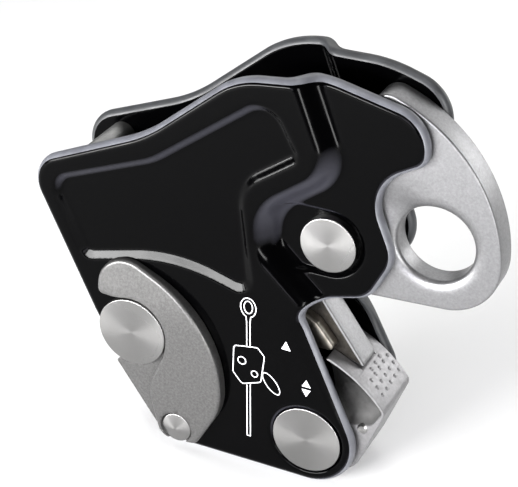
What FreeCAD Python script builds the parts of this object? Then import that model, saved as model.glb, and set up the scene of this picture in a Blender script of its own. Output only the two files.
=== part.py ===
import FreeCAD, Part
import Sketcher
import math
import os

# Rope fall arrester: two forged side plates, a swinging arm with a rope cam, a lever and a stud latch.
# X runs to the right, Z up along the rope, Y away from the viewer. The origin lies on the rope's
# centre line, midway between the plates, at the height of the arm's axle. Lengths are millimetres.

DOC = FreeCAD.newDocument("RopeFallArrester")
SHEET = DOC.addObject("Spreadsheet::Sheet", "Sizes")

SIZES = {
    # side plates: overall lengths, wall, and the joggle that narrows them round the arm
    "plate_wide": 95.6,
    "plate_tall": 100.0,
    "plate_wall": 2.6,
    "joggle_step": 4.5,
    "joggle_run": 2.9,
    "panel_depth": 1.1,
    "panel_run": 2.0,
    # swinging arm
    "arm_thick": 7.0,
    "arm_reach": 37.8,
    "arm_side_gap": 0.3,
    "eye_radius": 8.7,
    "eye_wall": 6.2,
    "eye_chamfer": 1.3,
    # cam shoe on the arm's tail
    "shoe_wide": 13.2,
    "cam_rivet_radius": 1.75,
    # rope channel and its anvil
    "rope_radius": 5.5,
    "rope_room": 0.4,
    "shoe_gap": 0.8,
    "anvil_stud_gap": 1.5,
    "anvil_lip": 2.1,
    "anvil_tall": 34.0,
    "anvil_drop": 19.0,
    "anvil_rivet_pitch": 18.0,
    "rivet_radius": 2.0,
    "rivet_head_radius": 3.3,
    "rivet_head_tall": 1.1,
    # axles, bushes, washers and peened ends
    "arm_axle_radius": 4.0,
    "arm_head_radius": 6.55,
    "arm_head_tall": 2.3,
    "arm_sink_gap": 1.65,
    "arm_sink_depth": 1.3,
    "lever_axle_radius": 4.5,
    "lever_head_radius": 8.45,
    "lever_head_tall": 1.4,
    "bush_wall": 1.1,
    "washer_tall": 0.8,
    "washer_rim": 2.4,
    "peen_tall": 1.2,
    "peen_rim": 0.9,
    "run_gap": 0.05,
    "small_round": 0.35,
    "head_gap": 0.3,
    # lever
    "lever_wide": 15.6,
    "scoop_depth": 2.3,
    "scoop_run": 1.3,
    "lever_gap": 0.6,
    "slot_wide": 7.6,
    "plunger_radius": 1.25,
    "plunger_tall": 2.6,
    "plunger_lift": 0.35,
    # latch and its stud
    "latch_tall": 3.0,
    "flange_tall": 1.2,
    "latch_lift": 0.1,
    "latch_sink": 0.9,
    "neck_radius": 4.8,
    "stud_head_radius": 8.63,
    "stud_head_tall": 1.7,
    "stud_lift": 0.3,
    # spacer post
    "post_radius": 3.2,
    "tenon_radius": 2.5,
    "seat_gap": 0.2,
}

for row, (alias, value) in enumerate(SIZES.items(), start=1):
    SHEET.set("A%d" % row, str(value))
    SHEET.setAlias("A%d" % row, alias)
DOC.recompute()

# Outline corners are (x, z, corner radius) as shares of the size named with each outline.
# The front plate is measured from the origin, as shares of the plate's width and height.
FRONT_SHARES = (
    (-0.521, 0.051, 0.080),
    (-0.187, 0.189, 0.400),
    (0.044, 0.368, 0.200),
    (0.225, 0.387, 0.300),
    (0.479, 0.331, 0.090),
    (0.476, 0.230, 0.040),
    (0.345, 0.158, 0.050),
    (0.410, -0.006, 0.040),
    (0.349, -0.115, 0.060),
    (0.199, -0.159, 0.030),
    (0.416, -0.618, 0.116),
    (-0.126, -0.618, 0.080),
    (-0.344, -0.322, 0.300),
)
REAR_SHARES = (
    (-0.487, 0.087, 0.090),
    (-0.173, 0.202, 0.400),
    (0.084, 0.400, 0.250),
    (0.340, 0.401, 0.300),
    (0.492, 0.354, 0.100),
    (0.485, 0.235, 0.040),
    (0.351, 0.160, 0.050),
    (0.433, 0.010, 0.050),
    (0.351, -0.115, 0.060),
    (0.253, -0.148, 0.030),
    (0.371, -0.370, 0.080),
    (0.333, -0.618, 0.116),
    (-0.126, -0.618, 0.080),
    (-0.329, -0.322, 0.300),
)
# The bend line between the plate's main face and the lobe that closes in round the arm.
BEND_SHARES = (
    (0.100, 0.600, 0.000),
    (0.262, 0.188, 0.040),
    (0.093, 0.069, 0.090),
    (0.093, -0.041, 0.050),
    (0.560, -0.459, 0.000),
)
LOBE_SIDE_SHARES = ((0.900, -0.459, 0.000), (0.900, 0.600, 0.000))
MAIN_SIDE_SHARES = ((0.560, -0.800, 0.000), (-0.700, -0.800, 0.000), (-0.700, 0.600, 0.000))
# The sunk panel on the front plate's upper left.
PANEL_SHARES = (
    (-0.457, 0.027, 0.050),
    (-0.172, 0.134, 0.200),
    (0.127, 0.344, 0.060),
    (0.204, 0.209, 0.025),
    (0.058, 0.111, 0.090),
    (0.089, -0.161, 0.035),
    (-0.119, -0.105, 0.400),
    (-0.368, -0.167, 0.030),
)
# The places of the axles, the stud, the latch's rivet and the post, as shares of the plate's
# width and height. The lever's axle is measured across from the arm's.
LEVER_PLACE_SHARES = (-0.028, -0.502)
STUD_PLACE_SHARES = (-0.223, -0.313)
LATCH_PLACE_SHARES = (-0.110, -0.554)
POST_PLACE_SHARES = (-0.360, 0.070)
# The eye's direction from the arm's axle.
EYE_WAY_SHARES = (0.987, 0.157)
# The arm is measured from its axle: its head as shares of the arm's reach, its tail and the cam
# shoe as shares of the shoe's reach, which is itself a share of the plate's height.
GRIP_SHARE = 0.273
ARM_HEAD_SHARES = (
    (0.259, 0.979, 0.106),
    (0.955, 0.693, 1.000),
    (1.005, -0.280, 0.330),
)
ARM_TAIL_SHARES = (
    (-0.180, -0.469, 0.091),
    (0.260, -1.158, 0.044),
    (-0.080, -1.044, 0.109),
    (-0.363, -0.864, 0.294),
    (-0.575, -0.534, 0.109),
    (-0.461, -0.129, 0.000),
    (-0.439, 0.312, 0.294),
)
SHOE_SHARES = (
    (-0.092, -0.766, 0.055),
    (0.092, -0.993, 0.036),
    (-0.073, -0.997, 0.000),
    (-0.352, -0.938, 0.220),
    (-0.582, -0.751, 0.000),
    (-0.667, -0.593, 0.073),
    (-0.538, -0.484, 0.037),
    (-0.293, -0.667, 0.000),
)
SHOE_FACE_SHARE = -0.667
CAM_RIVET_SHARES = (-0.256, -0.813)
# The latch is measured from its rivet, as shares of the distance from the rivet to the stud, and
# its lip as shares of the lip's radius about the rivet.
LATCH_SHARES = (
    (-0.746, 1.220, 0.057),
    (-0.746, 1.761, 0.284),
    (0.432, 1.212, 1.098),
    (0.452, 0.330, 0.620),
    (0.193, -0.121, 0.095),
    (-0.163, -0.144, 0.140),
    (-0.284, 0.383, 0.455),
    (-0.072, 0.799, 0.000),
    (-0.447, 1.220, 0.000),
)
LIP_SHARES = (
    (-0.769, 0.639, 0.020),
    (-0.535, 0.921, 0.930),
    (-0.174, 0.985, 0.000),
    (0.100, 0.750, 0.000),
    (0.100, 0.000, 0.000),
    (-0.203, -0.179, 0.174),
)
# The lever is measured from its axle, as shares of the pad's radius about that axle.
LEVER_SHARES = (
    (0.111, 0.991, 0.036),
    (0.500, 0.845, 1.350),
    (0.795, 0.480, 0.090),
    (0.462, -0.360, 0.300),
    (-0.180, -0.360, 0.000),
    (-0.180, 0.300, 0.000),
    (0.209, 0.511, 0.133),
    (0.164, 0.809, 0.067),
)

# The hollow in each side of the lever, and the detent plunger's place, measured as the lever is.
SCOOP_SHARES = (
    (0.265, 0.845, 0.075),
    (0.500, 0.770, 0.500),
    (0.710, 0.520, 0.085),
    (0.640, 0.370, 0.075),
    (0.480, 0.450, 0.200),
    (0.280, 0.530, 0.075),
)
PLUNGER_SHARES = (0.560, 0.235)


class Size:
    """A length, with the sheet expression that it comes from."""

    def __init__(self, value, text):
        self.value = value
        self.text = text

    def __add__(self, other):
        return Size(self.value + other.value, "(%s + %s)" % (self.text, other.text))

    def __sub__(self, other):
        return Size(self.value - other.value, "(%s - %s)" % (self.text, other.text))

    def __mul__(self, share):
        return Size(self.value * share, "(%s * %.6f)" % (self.text, share))

    def __truediv__(self, share):
        return Size(self.value / share, "(%s / %.6f)" % (self.text, share))

    def __neg__(self):
        return Size(-self.value, "(-%s)" % self.text)


def size(alias):
    """The sheet's size of that name."""
    return Size(SIZES[alias], "Sizes." + alias)


def placed(shares, across=None):
    """A place seen from the front, from its shares of the plate's width and height."""
    right = size("plate_wide") * shares[0]
    return (across + right if across else right, size("plate_tall") * shares[1])


def span(across, up):
    """The straight distance over two lengths at right angles."""
    text = "sqrt(%s * %s + %s * %s)" % (across.text, across.text, up.text, up.text)
    return Size(math.hypot(across.value, up.value), text)


ZERO = Size(0.0, "0")


def corners_of(shares, wide, tall):
    """Outline corners in real lengths, from shares of a width and a height."""
    corners = []
    for across, up, radius in shares:
        corners.append((wide * across, tall * up, tall * radius))
    return corners


def grown(corners, gap, closed=True):
    """The corners moved out square to their edges, to the right of the way round."""
    moved = []
    count = len(corners)
    for index, (across, up, radius) in enumerate(corners):
        before = corners[index - 1] if closed or index > 0 else None
        after = corners[(index + 1) % count] if closed or index < count - 1 else None
        sides = []
        if before:
            sides.append((across.value - before[0].value, up.value - before[1].value))
        if after:
            sides.append((after[0].value - across.value, after[1].value - up.value))
        squares = []
        for run, rise in sides:
            length = math.hypot(run, rise)
            squares.append((rise / length, -run / length))
        first = squares[0]
        last = squares[-1]
        scale = 1 + first[0] * last[0] + first[1] * last[1]
        turn = first[0] * last[1] - first[1] * last[0]
        moved_radius = radius
        if radius.value > 0:
            moved_radius = radius + gap if turn > 0 else radius - gap
        moved.append((
            across + gap * ((first[0] + last[0]) / scale),
            up + gap * ((first[1] + last[1]) / scale),
            moved_radius,
        ))
    return moved


def plane_of(body, role):
    """The body's own origin plane of that role."""
    for feature in body.Origin.OriginFeatures:
        if feature.Role == role:
            return feature
    raise ValueError("no plane " + role)


def new_body(label, right=ZERO, up=ZERO):
    """An empty body that is placed by its own centre."""
    body = DOC.addObject("PartDesign::Body", label)
    body.Label = label
    body.Placement.Base = FreeCAD.Vector(right.value, 0, up.value)
    body.setExpression("Placement.Base.x", right.text)
    body.setExpression("Placement.Base.z", up.text)
    return body


def new_sketch(body, level=ZERO, role="XZ_Plane"):
    """A sketch on the body's own plane. The level is measured along +Y, or +Z on the XY plane."""
    sketch = body.newObject("Sketcher::SketchObject", body.Label + "_sketch")
    sketch.AttachmentSupport = [(plane_of(body, role), "")]
    sketch.MapMode = "FlatFace"
    height = level if role == "XY_Plane" else -level
    sketch.AttachmentOffset.Base = FreeCAD.Vector(0, 0, height.value)
    sketch.setExpression("AttachmentOffset.Base.z", height.text)
    return sketch


def hold_point(sketch, rules, bound, item, place, across, up):
    """Fix a point of the sketch by its two coordinates."""
    for kind, axis, length in (("DistanceX", -2, across), ("DistanceY", -1, up)):
        if length is ZERO:
            rules.append(Sketcher.Constraint("PointOnObject", item, place, axis))
        else:
            rules.append(Sketcher.Constraint(kind, item, place, length.value))
            bound.append((len(rules) - 1, length))


def apply_rules(sketch, rules, bound):
    """Add the constraints and bind those that hold a length."""
    start = sketch.ConstraintCount
    sketch.addConstraint(rules)
    for index, length in bound:
        sketch.setExpression("Constraints[%d]" % (start + index), length.text)


def eased(corners):
    """The corners, with any radius that its two edges are too short for made to fit them."""
    count = len(corners)
    spots = [FreeCAD.Vector(corner[0].value, corner[1].value, 0) for corner in corners]
    reaches = []
    for index, spot in enumerate(spots):
        half = (spots[index - 1] - spot).getAngle(spots[(index + 1) % count] - spot) / 2
        reaches.append(corners[index][2].value / math.tan(half))
    result = []
    for index, (across, up, radius) in enumerate(corners):
        fit = 1
        for other in (index - 1, (index + 1) % count):
            room = (spots[other] - spots[index]).Length * CORNER_ROOM_SHARE
            wanted = reaches[index] + reaches[other]
            if wanted > room:
                fit = min(fit, room / wanted)
        result.append((across, up, radius * fit if fit < 1 else radius))
    return result


def draw_outline(sketch, corners):
    """A closed outline of straight edges, with a tangent arc at each corner that has a radius."""
    corners = eased(corners)
    count = len(corners)
    spots = [FreeCAD.Vector(corner[0].value, corner[1].value, 0) for corner in corners]
    ends = []
    for index, spot in enumerate(spots):
        back = (spots[index - 1] - spot).normalize()
        ahead = (spots[(index + 1) % count] - spot).normalize()
        radius = corners[index][2].value
        if radius <= 0:
            ends.append((spot, spot, None, False))
            continue
        half = back.getAngle(ahead) / 2
        reach = radius / math.tan(half)
        centre = spot + (back + ahead).normalize() * (radius / math.sin(half))
        leftward = back.x * ahead.y - back.y * ahead.x < 0
        ends.append((spot + back * reach, spot + ahead * reach, centre, leftward))
    first = sketch.GeometryCount
    for index, spot in enumerate(spots):
        following = (index + 1) % count
        edge = ends[following][0] - ends[index][1]
        if edge.dot(spots[following] - spot) <= 0:
            raise ValueError("%s: no straight edge after corner %d" % (sketch.Label, index))
        sketch.addGeometry(Part.LineSegment(ends[index][1], ends[following][0]))
    rules = []
    bound = []
    upward = FreeCAD.Vector(0, 0, 1)
    for index, spot in enumerate(spots):
        arrive, leave, centre, leftward = ends[index]
        line_in = first + (index - 1) % count
        line_out = first + index
        across, up, radius = corners[index]
        if centre is None:
            rules.append(Sketcher.Constraint("Coincident", line_in, 2, line_out, 1))
            hold_point(sketch, rules, bound, line_out, 1, across, up)
            continue
        begin, finish = (arrive, leave) if leftward else (leave, arrive)
        circle = Part.Circle(centre, upward, radius.value)
        curve = Part.ArcOfCircle(circle, circle.parameter(begin), circle.parameter(finish))
        arc = sketch.addGeometry(curve)
        place_in, place_out = (1, 2) if leftward else (2, 1)
        rules.append(Sketcher.Constraint("Tangent", line_in, 2, arc, place_in))
        rules.append(Sketcher.Constraint("Tangent", line_out, 1, arc, place_out))
        rules.append(Sketcher.Constraint("Radius", arc, radius.value))
        bound.append((len(rules) - 1, radius))
        corner = sketch.addGeometry(Part.Point(spot), True)
        hold_point(sketch, rules, bound, corner, 1, across, up)
        rules.append(Sketcher.Constraint("PointOnObject", corner, 1, line_in))
        rules.append(Sketcher.Constraint("PointOnObject", corner, 1, line_out))
    apply_rules(sketch, rules, bound)


def draw_circle(sketch, radius, across=ZERO, up=ZERO):
    """A circle of that radius about a point of the sketch."""
    centre = FreeCAD.Vector(across.value, up.value, 0)
    item = sketch.addGeometry(Part.Circle(centre, FreeCAD.Vector(0, 0, 1), radius.value))
    rules = []
    bound = []
    hold_point(sketch, rules, bound, item, 3, across, up)
    rules.append(Sketcher.Constraint("Radius", item, radius.value))
    bound.append((len(rules) - 1, radius))
    apply_rules(sketch, rules, bound)


def pad(body, sketch, tall, reverse):
    """Raise the sketch's outline, away from the viewer where reverse is true."""
    feature = body.newObject("PartDesign::Pad", body.Label + "_pad")
    feature.Profile = sketch
    feature.setExpression("Length", tall.text)
    feature.Reversed = reverse
    DOC.recompute()
    return feature


def pocket(body, sketch, deep, reverse, run=None):
    """Cut the sketch's outline, towards the viewer where reverse is true."""
    before = body.Shape.Volume
    feature = body.newObject("PartDesign::Pocket", body.Label + "_pocket")
    feature.Profile = sketch
    feature.setExpression("Length", deep.text)
    feature.Reversed = reverse
    if run:
        feature.setExpression("TaperAngle", "-atan(%s / %s)" % (run.text, deep.text))
    DOC.recompute()
    if body.Shape.Volume >= before:
        raise ValueError(body.Label + ": a pocket cut nothing")
    return feature


def turned(label, profile, right=ZERO, up=ZERO):
    """A piece turned about an axis along Y. The profile's corners are (radius, y)."""
    body = new_body(label, right, up)
    sketch = new_sketch(body, role="XY_Plane")
    draw_outline(sketch, [(across, along, ZERO) for across, along in profile])
    feature = body.newObject("PartDesign::Revolution", label + "_turned")
    feature.Profile = sketch
    feature.ReferenceAxis = (sketch, ["V_Axis"])
    DOC.recompute()
    return body


def headed_pin(label, right, up, head, shank, peen):
    """A pin with a head, a shank and a peened end. The ends are (radius, near y, far y)."""
    profile = [
        (ZERO, head[1]),
        (head[0], head[1]),
        (head[0], head[2]),
        (shank, head[2]),
        (shank, peen[1]),
    ]
    return turned(label, profile + peen_profile(peen), right, up)


def peen_profile(peen):
    """The outline of a peened end, spread to a cone."""
    rim = (peen[2] - peen[1]) * PEEN_RIM_SHARE
    return [
        (peen[0], peen[1]),
        (peen[0] - rim, peen[2]),
        (ZERO, peen[2]),
    ]


def ring(label, right, up, inner, outer, near, far):
    """A plain ring about an axis along Y."""
    profile = [(inner, near), (outer, near), (outer, far), (inner, far)]
    return turned(label, profile, right, up)


def chamfer_edges(body, chosen, width):
    """Chamfer the edges that the test picks out of the body's last shape."""
    base = body.Tip
    names = []
    for number, edge in enumerate(base.Shape.Edges, start=1):
        if chosen(edge):
            names.append("Edge%d" % number)
    if not names:
        raise ValueError(body.Label + ": no edge to chamfer")
    feature = body.newObject("PartDesign::Chamfer", body.Label + "_chamfer")
    feature.Base = (base, names)
    feature.Size = width.value
    feature.setExpression("Size", width.text)
    DOC.recompute()
    return feature


def is_circle(edge, radius):
    """True for an edge that is an arc or circle of that radius."""
    curve = edge.Curve
    return curve.TypeId == "Part::GeomCircle" and abs(curve.Radius - radius.value) < MATCH


PEEN_RIM_SHARE = 0.5
CORNER_ROOM_SHARE = 0.98
HALF_SHARE = 0.5
BOTH_SIDES_SHARE = 2
LEVER_BOSS_SHARE = 0.507
NOTCH_WAY_SHARES = (-0.399, -0.917)
NOTCH_ROUND_SHARE = 0.98
MATCH = 1e-4

# Places and levels that several pieces share.
GRIP = size("plate_tall") * GRIP_SHARE
SHOE_LEFT = GRIP * -SHOE_FACE_SHARE
ARM = (size("rope_radius") + size("shoe_gap") + SHOE_LEFT, ZERO)
LEVER = placed(LEVER_PLACE_SHARES, ARM[0])
STUD = placed(STUD_PLACE_SHARES)
LATCH = placed(LATCH_PLACE_SHARES)
POST = placed(POST_PLACE_SHARES)
LOBE_INNER = size("arm_thick") * HALF_SHARE + size("arm_side_gap")
LOBE_OUTER = LOBE_INNER + size("plate_wall")
MAIN_INNER = LOBE_INNER + size("joggle_step")
MAIN_OUTER = LOBE_OUTER + size("joggle_step")
GAP = size("run_gap")
ANVIL_RIGHT = -(size("rope_radius") + size("rope_room"))
ANVIL_LEFT = STUD[0] + size("neck_radius") + size("anvil_stud_gap")
ANVIL_MIDDLE = (ANVIL_LEFT + ANVIL_RIGHT) * HALF_SHARE
CAM_RIVET = tuple(GRIP * share for share in CAM_RIVET_SHARES)
LEVER_REACH = span(ARM[0] - LEVER[0], ARM[1] - LEVER[1]) - GRIP - size("lever_gap")
LEVER_BOSS = LEVER_REACH * LEVER_BOSS_SHARE
PLUNGER = (LEVER[0] + LEVER_REACH * PLUNGER_SHARES[0], LEVER[1] + LEVER_REACH * PLUNGER_SHARES[1])
ANVIL_RIVET_UPS = (
    size("anvil_rivet_pitch") * HALF_SHARE - size("anvil_drop"),
    -(size("anvil_rivet_pitch") * HALF_SHARE) - size("anvil_drop"),
)


def joggled_plate(label, shares, front):
    """A side plate: a slab over the whole outline, thinned from both sides across a sloping bend."""
    wide = size("plate_wide")
    tall = size("plate_tall")
    wall = size("plate_wall")
    step = size("joggle_step")
    run = size("joggle_run")
    lobe_inner = -LOBE_INNER if front else LOBE_INNER
    main_outer = -MAIN_OUTER if front else MAIN_OUTER
    body = new_body(label)
    outline = new_sketch(body, lobe_inner)
    draw_outline(outline, corners_of(shares, wide, tall))
    pad(body, outline, step + wall, not front)
    lobe = new_sketch(body, main_outer)
    draw_outline(lobe, corners_of(BEND_SHARES + LOBE_SIDE_SHARES, wide, tall))
    pocket(body, lobe, step, not front, run)
    slope = math.atan2(run.value, step.value)
    inset = run * ((step.value + wall.value) / step.value) - wall / math.cos(slope)
    bend = grown(corners_of(BEND_SHARES, wide, tall), -inset, closed=False)
    main = new_sketch(body, lobe_inner)
    draw_outline(main, bend + corners_of(MAIN_SIDE_SHARES, wide, tall))
    pocket(body, main, step, front, run)
    return body


def drill(body, place, radius, level, deep, reverse):
    """A round hole square to the plate, from a level along Y."""
    sketch = new_sketch(body, level)
    draw_circle(sketch, radius, place[0], place[1])
    return pocket(body, sketch, deep, reverse)


def make_front_plate():
    """The front plate, with its sunk panel, the seats for both axle heads and the stud's notch."""
    body = joggled_plate("front_plate", FRONT_SHARES, True)
    wide = size("plate_wide")
    tall = size("plate_tall")
    through = MAIN_OUTER
    panel = new_sketch(body, -MAIN_OUTER)
    draw_outline(panel, corners_of(PANEL_SHARES, wide, tall))
    pocket(body, panel, size("panel_depth"), False, size("panel_run"))
    sink = size("arm_head_radius") + size("arm_sink_gap")
    drill(body, ARM, sink, -LOBE_OUTER, size("arm_sink_depth"), False)
    drill(body, ARM, size("arm_axle_radius") + GAP, -LOBE_OUTER, through, False)
    seat = size("lever_head_radius") + size("head_gap")
    drill(body, LEVER, seat, -MAIN_OUTER, size("lever_head_tall"), False)
    drill(body, LEVER, size("lever_axle_radius") + GAP, -MAIN_OUTER, through, False)
    drill(body, LATCH, size("rivet_radius") + GAP, -MAIN_OUTER, through, False)
    notch = new_sketch(body, -MAIN_OUTER)
    draw_outline(notch, notch_corners())
    pocket(body, notch, through, False)
    return body


def notch_corners():
    """The open slot that lets the front plate swing over the stud's neck."""
    half = size("neck_radius") + size("head_gap")
    across, up = NOTCH_WAY_SHARES
    far = -STUD[0]
    corners = []
    for along, side, radius in (
        (-half, half, True),
        (-half, -half, True),
        (far, -half, False),
        (far, half, False),
    ):
        corners.append((
            STUD[0] + along * across + side * up,
            STUD[1] + along * up - side * across,
            half * NOTCH_ROUND_SHARE if radius else ZERO,
        ))
    return corners


def make_rear_plate():
    """The rear plate, bored for the axles, the stud, the post and the anvil's rivets."""
    body = joggled_plate("rear_plate", REAR_SHARES, False)
    drill(body, ARM, size("arm_axle_radius") + GAP, MAIN_OUTER, MAIN_OUTER, True)
    drill(body, LEVER, size("lever_axle_radius") + GAP, MAIN_OUTER, MAIN_OUTER, True)
    drill(body, STUD, size("tenon_radius") + GAP, MAIN_OUTER, MAIN_OUTER, True)
    drill(body, POST, size("tenon_radius") + GAP, MAIN_OUTER, MAIN_OUTER, True)
    for up in ANVIL_RIVET_UPS:
        drill(body, (ANVIL_MIDDLE, up), size("rivet_radius") + GAP, MAIN_OUTER, MAIN_OUTER, True)
    return body


def peened(radius, level):
    """The peened end over a shank: its radius and its near and far levels."""
    return (radius + size("peen_rim"), level, level + size("peen_tall"))


def make_axles():
    """Both axles, with a washer under each peened end."""
    washer = size("washer_tall")
    floor = -LOBE_OUTER + size("arm_sink_depth")
    arm_head = (size("arm_head_radius"), floor - size("arm_head_tall"), floor)
    lever_head = (size("lever_head_radius"), -MAIN_OUTER, -MAIN_OUTER + size("lever_head_tall"))
    made = []
    for name, place, head, level in (
        ("arm_axle", ARM, arm_head, LOBE_OUTER),
        ("lever_axle", LEVER, lever_head, MAIN_OUTER),
    ):
        shank = size(name + "_radius")
        end = level + washer
        outer = shank + size("washer_rim")
        made.append(headed_pin(name, place[0], place[1], head, shank, peened(shank, end)))
        made.append(ring(name + "_washer", place[0], place[1], shank + GAP, outer, level, end))
    return made


def make_lock_stud():
    """The stud on the rear plate, whose broad head holds the front plate shut under the latch."""
    neck = size("neck_radius")
    tenon = size("tenon_radius")
    peen = peened(tenon, MAIN_OUTER)
    under = -MAIN_OUTER - size("latch_lift") - size("flange_tall") - size("stud_lift")
    top = under - size("stud_head_tall")
    head = size("stud_head_radius")
    profile = [
        (ZERO, top),
        (head, top),
        (head, under),
        (neck, under),
        (neck, MAIN_INNER),
        (tenon, MAIN_INNER),
        (tenon, MAIN_OUTER),
    ]
    return turned("lock_stud", profile + peen_profile(peen), STUD[0], STUD[1])


def make_top_post():
    """The spacer post at the upper left, riveted to the rear plate only."""
    tenon = size("tenon_radius")
    near = size("seat_gap") - MAIN_INNER
    post = size("post_radius")
    peen = peened(tenon, MAIN_OUTER)
    profile = [
        (ZERO, near),
        (post, near),
        (post, MAIN_INNER),
        (tenon, MAIN_INNER),
        (tenon, MAIN_OUTER),
    ]
    return turned("top_post", profile + peen_profile(peen), POST[0], POST[1])


def make_rope_anvil():
    """The block that the rope is pinched against, with a round groove down its right face."""
    body = new_body("rope_anvil")
    top = size("anvil_tall") * HALF_SHARE - size("anvil_drop")
    outline = new_sketch(body, top - size("anvil_tall"), "XY_Plane")
    left = ANVIL_LEFT
    right = ANVIL_RIGHT + size("anvil_lip")
    near = size("head_gap") - MAIN_INNER
    corner = size("small_round")
    draw_outline(outline, [
        (left, near, corner),
        (right, near, corner),
        (right, MAIN_INNER, corner),
        (left, MAIN_INNER, corner),
    ])
    block = body.newObject("PartDesign::Pad", "rope_anvil_pad")
    block.Profile = outline
    block.setExpression("Length", size("anvil_tall").text)
    DOC.recompute()
    groove = new_sketch(body, top, "XY_Plane")
    draw_circle(groove, size("rope_radius") + size("rope_room"))
    pocket(body, groove, size("anvil_tall"), False)
    for up in ANVIL_RIVET_UPS:
        rivet = size("rivet_radius") + GAP
        drill(body, (ANVIL_MIDDLE, up), rivet, MAIN_INNER, MAIN_INNER * BOTH_SIDES_SHARE, True)
    return body


def group(label, members):
    """Identical pieces as one node of separate solids."""
    compound = DOC.addObject("Part::Compound", label)
    compound.Label = label
    compound.Links = members
    return compound


def make_anvil_rivets():
    """The two rivets that carry the anvil on the rear plate."""
    head = size("rivet_head_radius")
    shank = size("rivet_radius")
    near = size("head_gap") * BOTH_SIDES_SHARE - MAIN_INNER
    far = MAIN_OUTER + size("peen_tall")
    profile = [(ZERO, near), (shank, near), (shank, MAIN_OUTER)]
    profile += peen_profile((head, MAIN_OUTER, far))
    rivets = []
    for name, up in zip(("anvil_rivet_upper", "anvil_rivet_lower"), ANVIL_RIVET_UPS):
        rivets.append(turned(name, profile, ANVIL_MIDDLE, up))
    return group("anvil_rivets", rivets)


def make_latch_rivet():
    """The rivet that the latch turns on, peened inside the front plate."""
    lift = -MAIN_OUTER - size("latch_lift")
    seat = lift - size("latch_tall") + size("latch_sink")
    head = (size("rivet_head_radius"), seat - size("rivet_head_tall"), seat)
    tail = -MAIN_INNER
    peen = (size("rivet_radius") + size("peen_rim"), tail, tail + size("latch_sink"))
    return headed_pin("latch_rivet", LATCH[0], LATCH[1], head, size("rivet_radius"), peen)


def arm_corners():
    """The arm's outline about its axle."""
    reach = size("arm_reach")
    return corners_of(ARM_HEAD_SHARES, reach, reach) + corners_of(ARM_TAIL_SHARES, GRIP, GRIP)


def make_arm():
    """The swinging arm: the connector's eye above right, the hub, and the tail that works the cam."""
    body = new_body("arm", ARM[0], ARM[1])
    thick = size("arm_thick")
    half = thick * HALF_SHARE
    outline = new_sketch(body, half)
    draw_outline(outline, arm_corners())
    pad(body, outline, thick, False)
    eye = new_sketch(body, half)
    reach = size("arm_reach") - size("eye_wall") - size("eye_radius")
    draw_circle(eye, size("eye_radius"), reach * EYE_WAY_SHARES[0], reach * EYE_WAY_SHARES[1])
    pocket(body, eye, thick, True)
    hub = new_sketch(body, half)
    draw_circle(hub, size("arm_axle_radius") + GAP * BOTH_SIDES_SHARE + size("bush_wall"))
    pocket(body, hub, thick, True)
    pin = new_sketch(body, half)
    draw_circle(pin, size("cam_rivet_radius") + GAP, CAM_RIVET[0], CAM_RIVET[1])
    pocket(body, pin, thick, True)
    chamfer_edges(body, lambda edge: is_circle(edge, size("eye_radius")), size("eye_chamfer"))
    return body


def make_arm_bush():
    """The plain bearing in the arm's hub."""
    inner = size("arm_axle_radius") + GAP
    return ring("arm_bush", ARM[0], ARM[1], inner, inner + size("bush_wall"),
                -(size("arm_thick") * HALF_SHARE), size("arm_thick") * HALF_SHARE)


def make_cam_shoe():
    """The steel shoe that straddles the arm's tail and pinches the rope."""
    body = new_body("cam_shoe", ARM[0], ARM[1])
    wide = size("shoe_wide")
    outline = new_sketch(body, wide * HALF_SHARE)
    draw_outline(outline, corners_of(SHOE_SHARES, GRIP, GRIP))
    pad(body, outline, wide, False)
    slot = new_sketch(body, size("arm_thick") * HALF_SHARE + GAP)
    draw_outline(slot, grown(arm_corners(), -GAP))
    pocket(body, slot, size("arm_thick") + GAP * BOTH_SIDES_SHARE, True)
    pin = new_sketch(body, wide * HALF_SHARE)
    draw_circle(pin, size("cam_rivet_radius") + GAP, CAM_RIVET[0], CAM_RIVET[1])
    pocket(body, pin, wide, True)
    return body


def make_cam_rivet():
    """The cross rivet through the shoe and the tail, peened flush."""
    half = size("shoe_wide") * HALF_SHARE
    shank = size("cam_rivet_radius")
    profile = [(ZERO, -half), (shank, -half), (shank, half), (ZERO, half)]
    return turned("cam_rivet", profile, ARM[0] + CAM_RIVET[0], ARM[1] + CAM_RIVET[1])


def make_lever():
    """The lever: a broad thumb pad on a narrower leg, slotted for the arm's tail."""
    body = new_body("lever", LEVER[0], LEVER[1])
    wide = size("lever_wide")
    half = wide * HALF_SHARE
    reach = LEVER_REACH
    leg = new_sketch(body, half)
    draw_outline(leg, corners_of(LEVER_SHARES, reach, reach))
    pad(body, leg, wide, False)
    boss = new_sketch(body, half)
    draw_circle(boss, LEVER_BOSS)
    pad(body, boss, wide, False)
    for level, reverse in ((half, True), (-half, False)):
        scoop = new_sketch(body, level)
        draw_outline(scoop, corners_of(SCOOP_SHARES, reach, reach))
        pocket(body, scoop, size("scoop_depth"), reverse, size("scoop_run"))
    slot = new_sketch(body, size("slot_wide") * HALF_SHARE)
    draw_outline(slot, tail_slot_corners())
    pocket(body, slot, size("slot_wide"), True)
    bore = new_sketch(body, half)
    draw_circle(bore, size("lever_axle_radius") + GAP * BOTH_SIDES_SHARE + size("bush_wall"))
    pocket(body, bore, wide, True)
    seat = new_sketch(body, -half)
    draw_circle(seat, size("plunger_radius") + GAP, PLUNGER[0] - LEVER[0], PLUNGER[1] - LEVER[1])
    pocket(body, seat, size("plunger_tall") - size("plunger_lift"), False)
    return body


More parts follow.
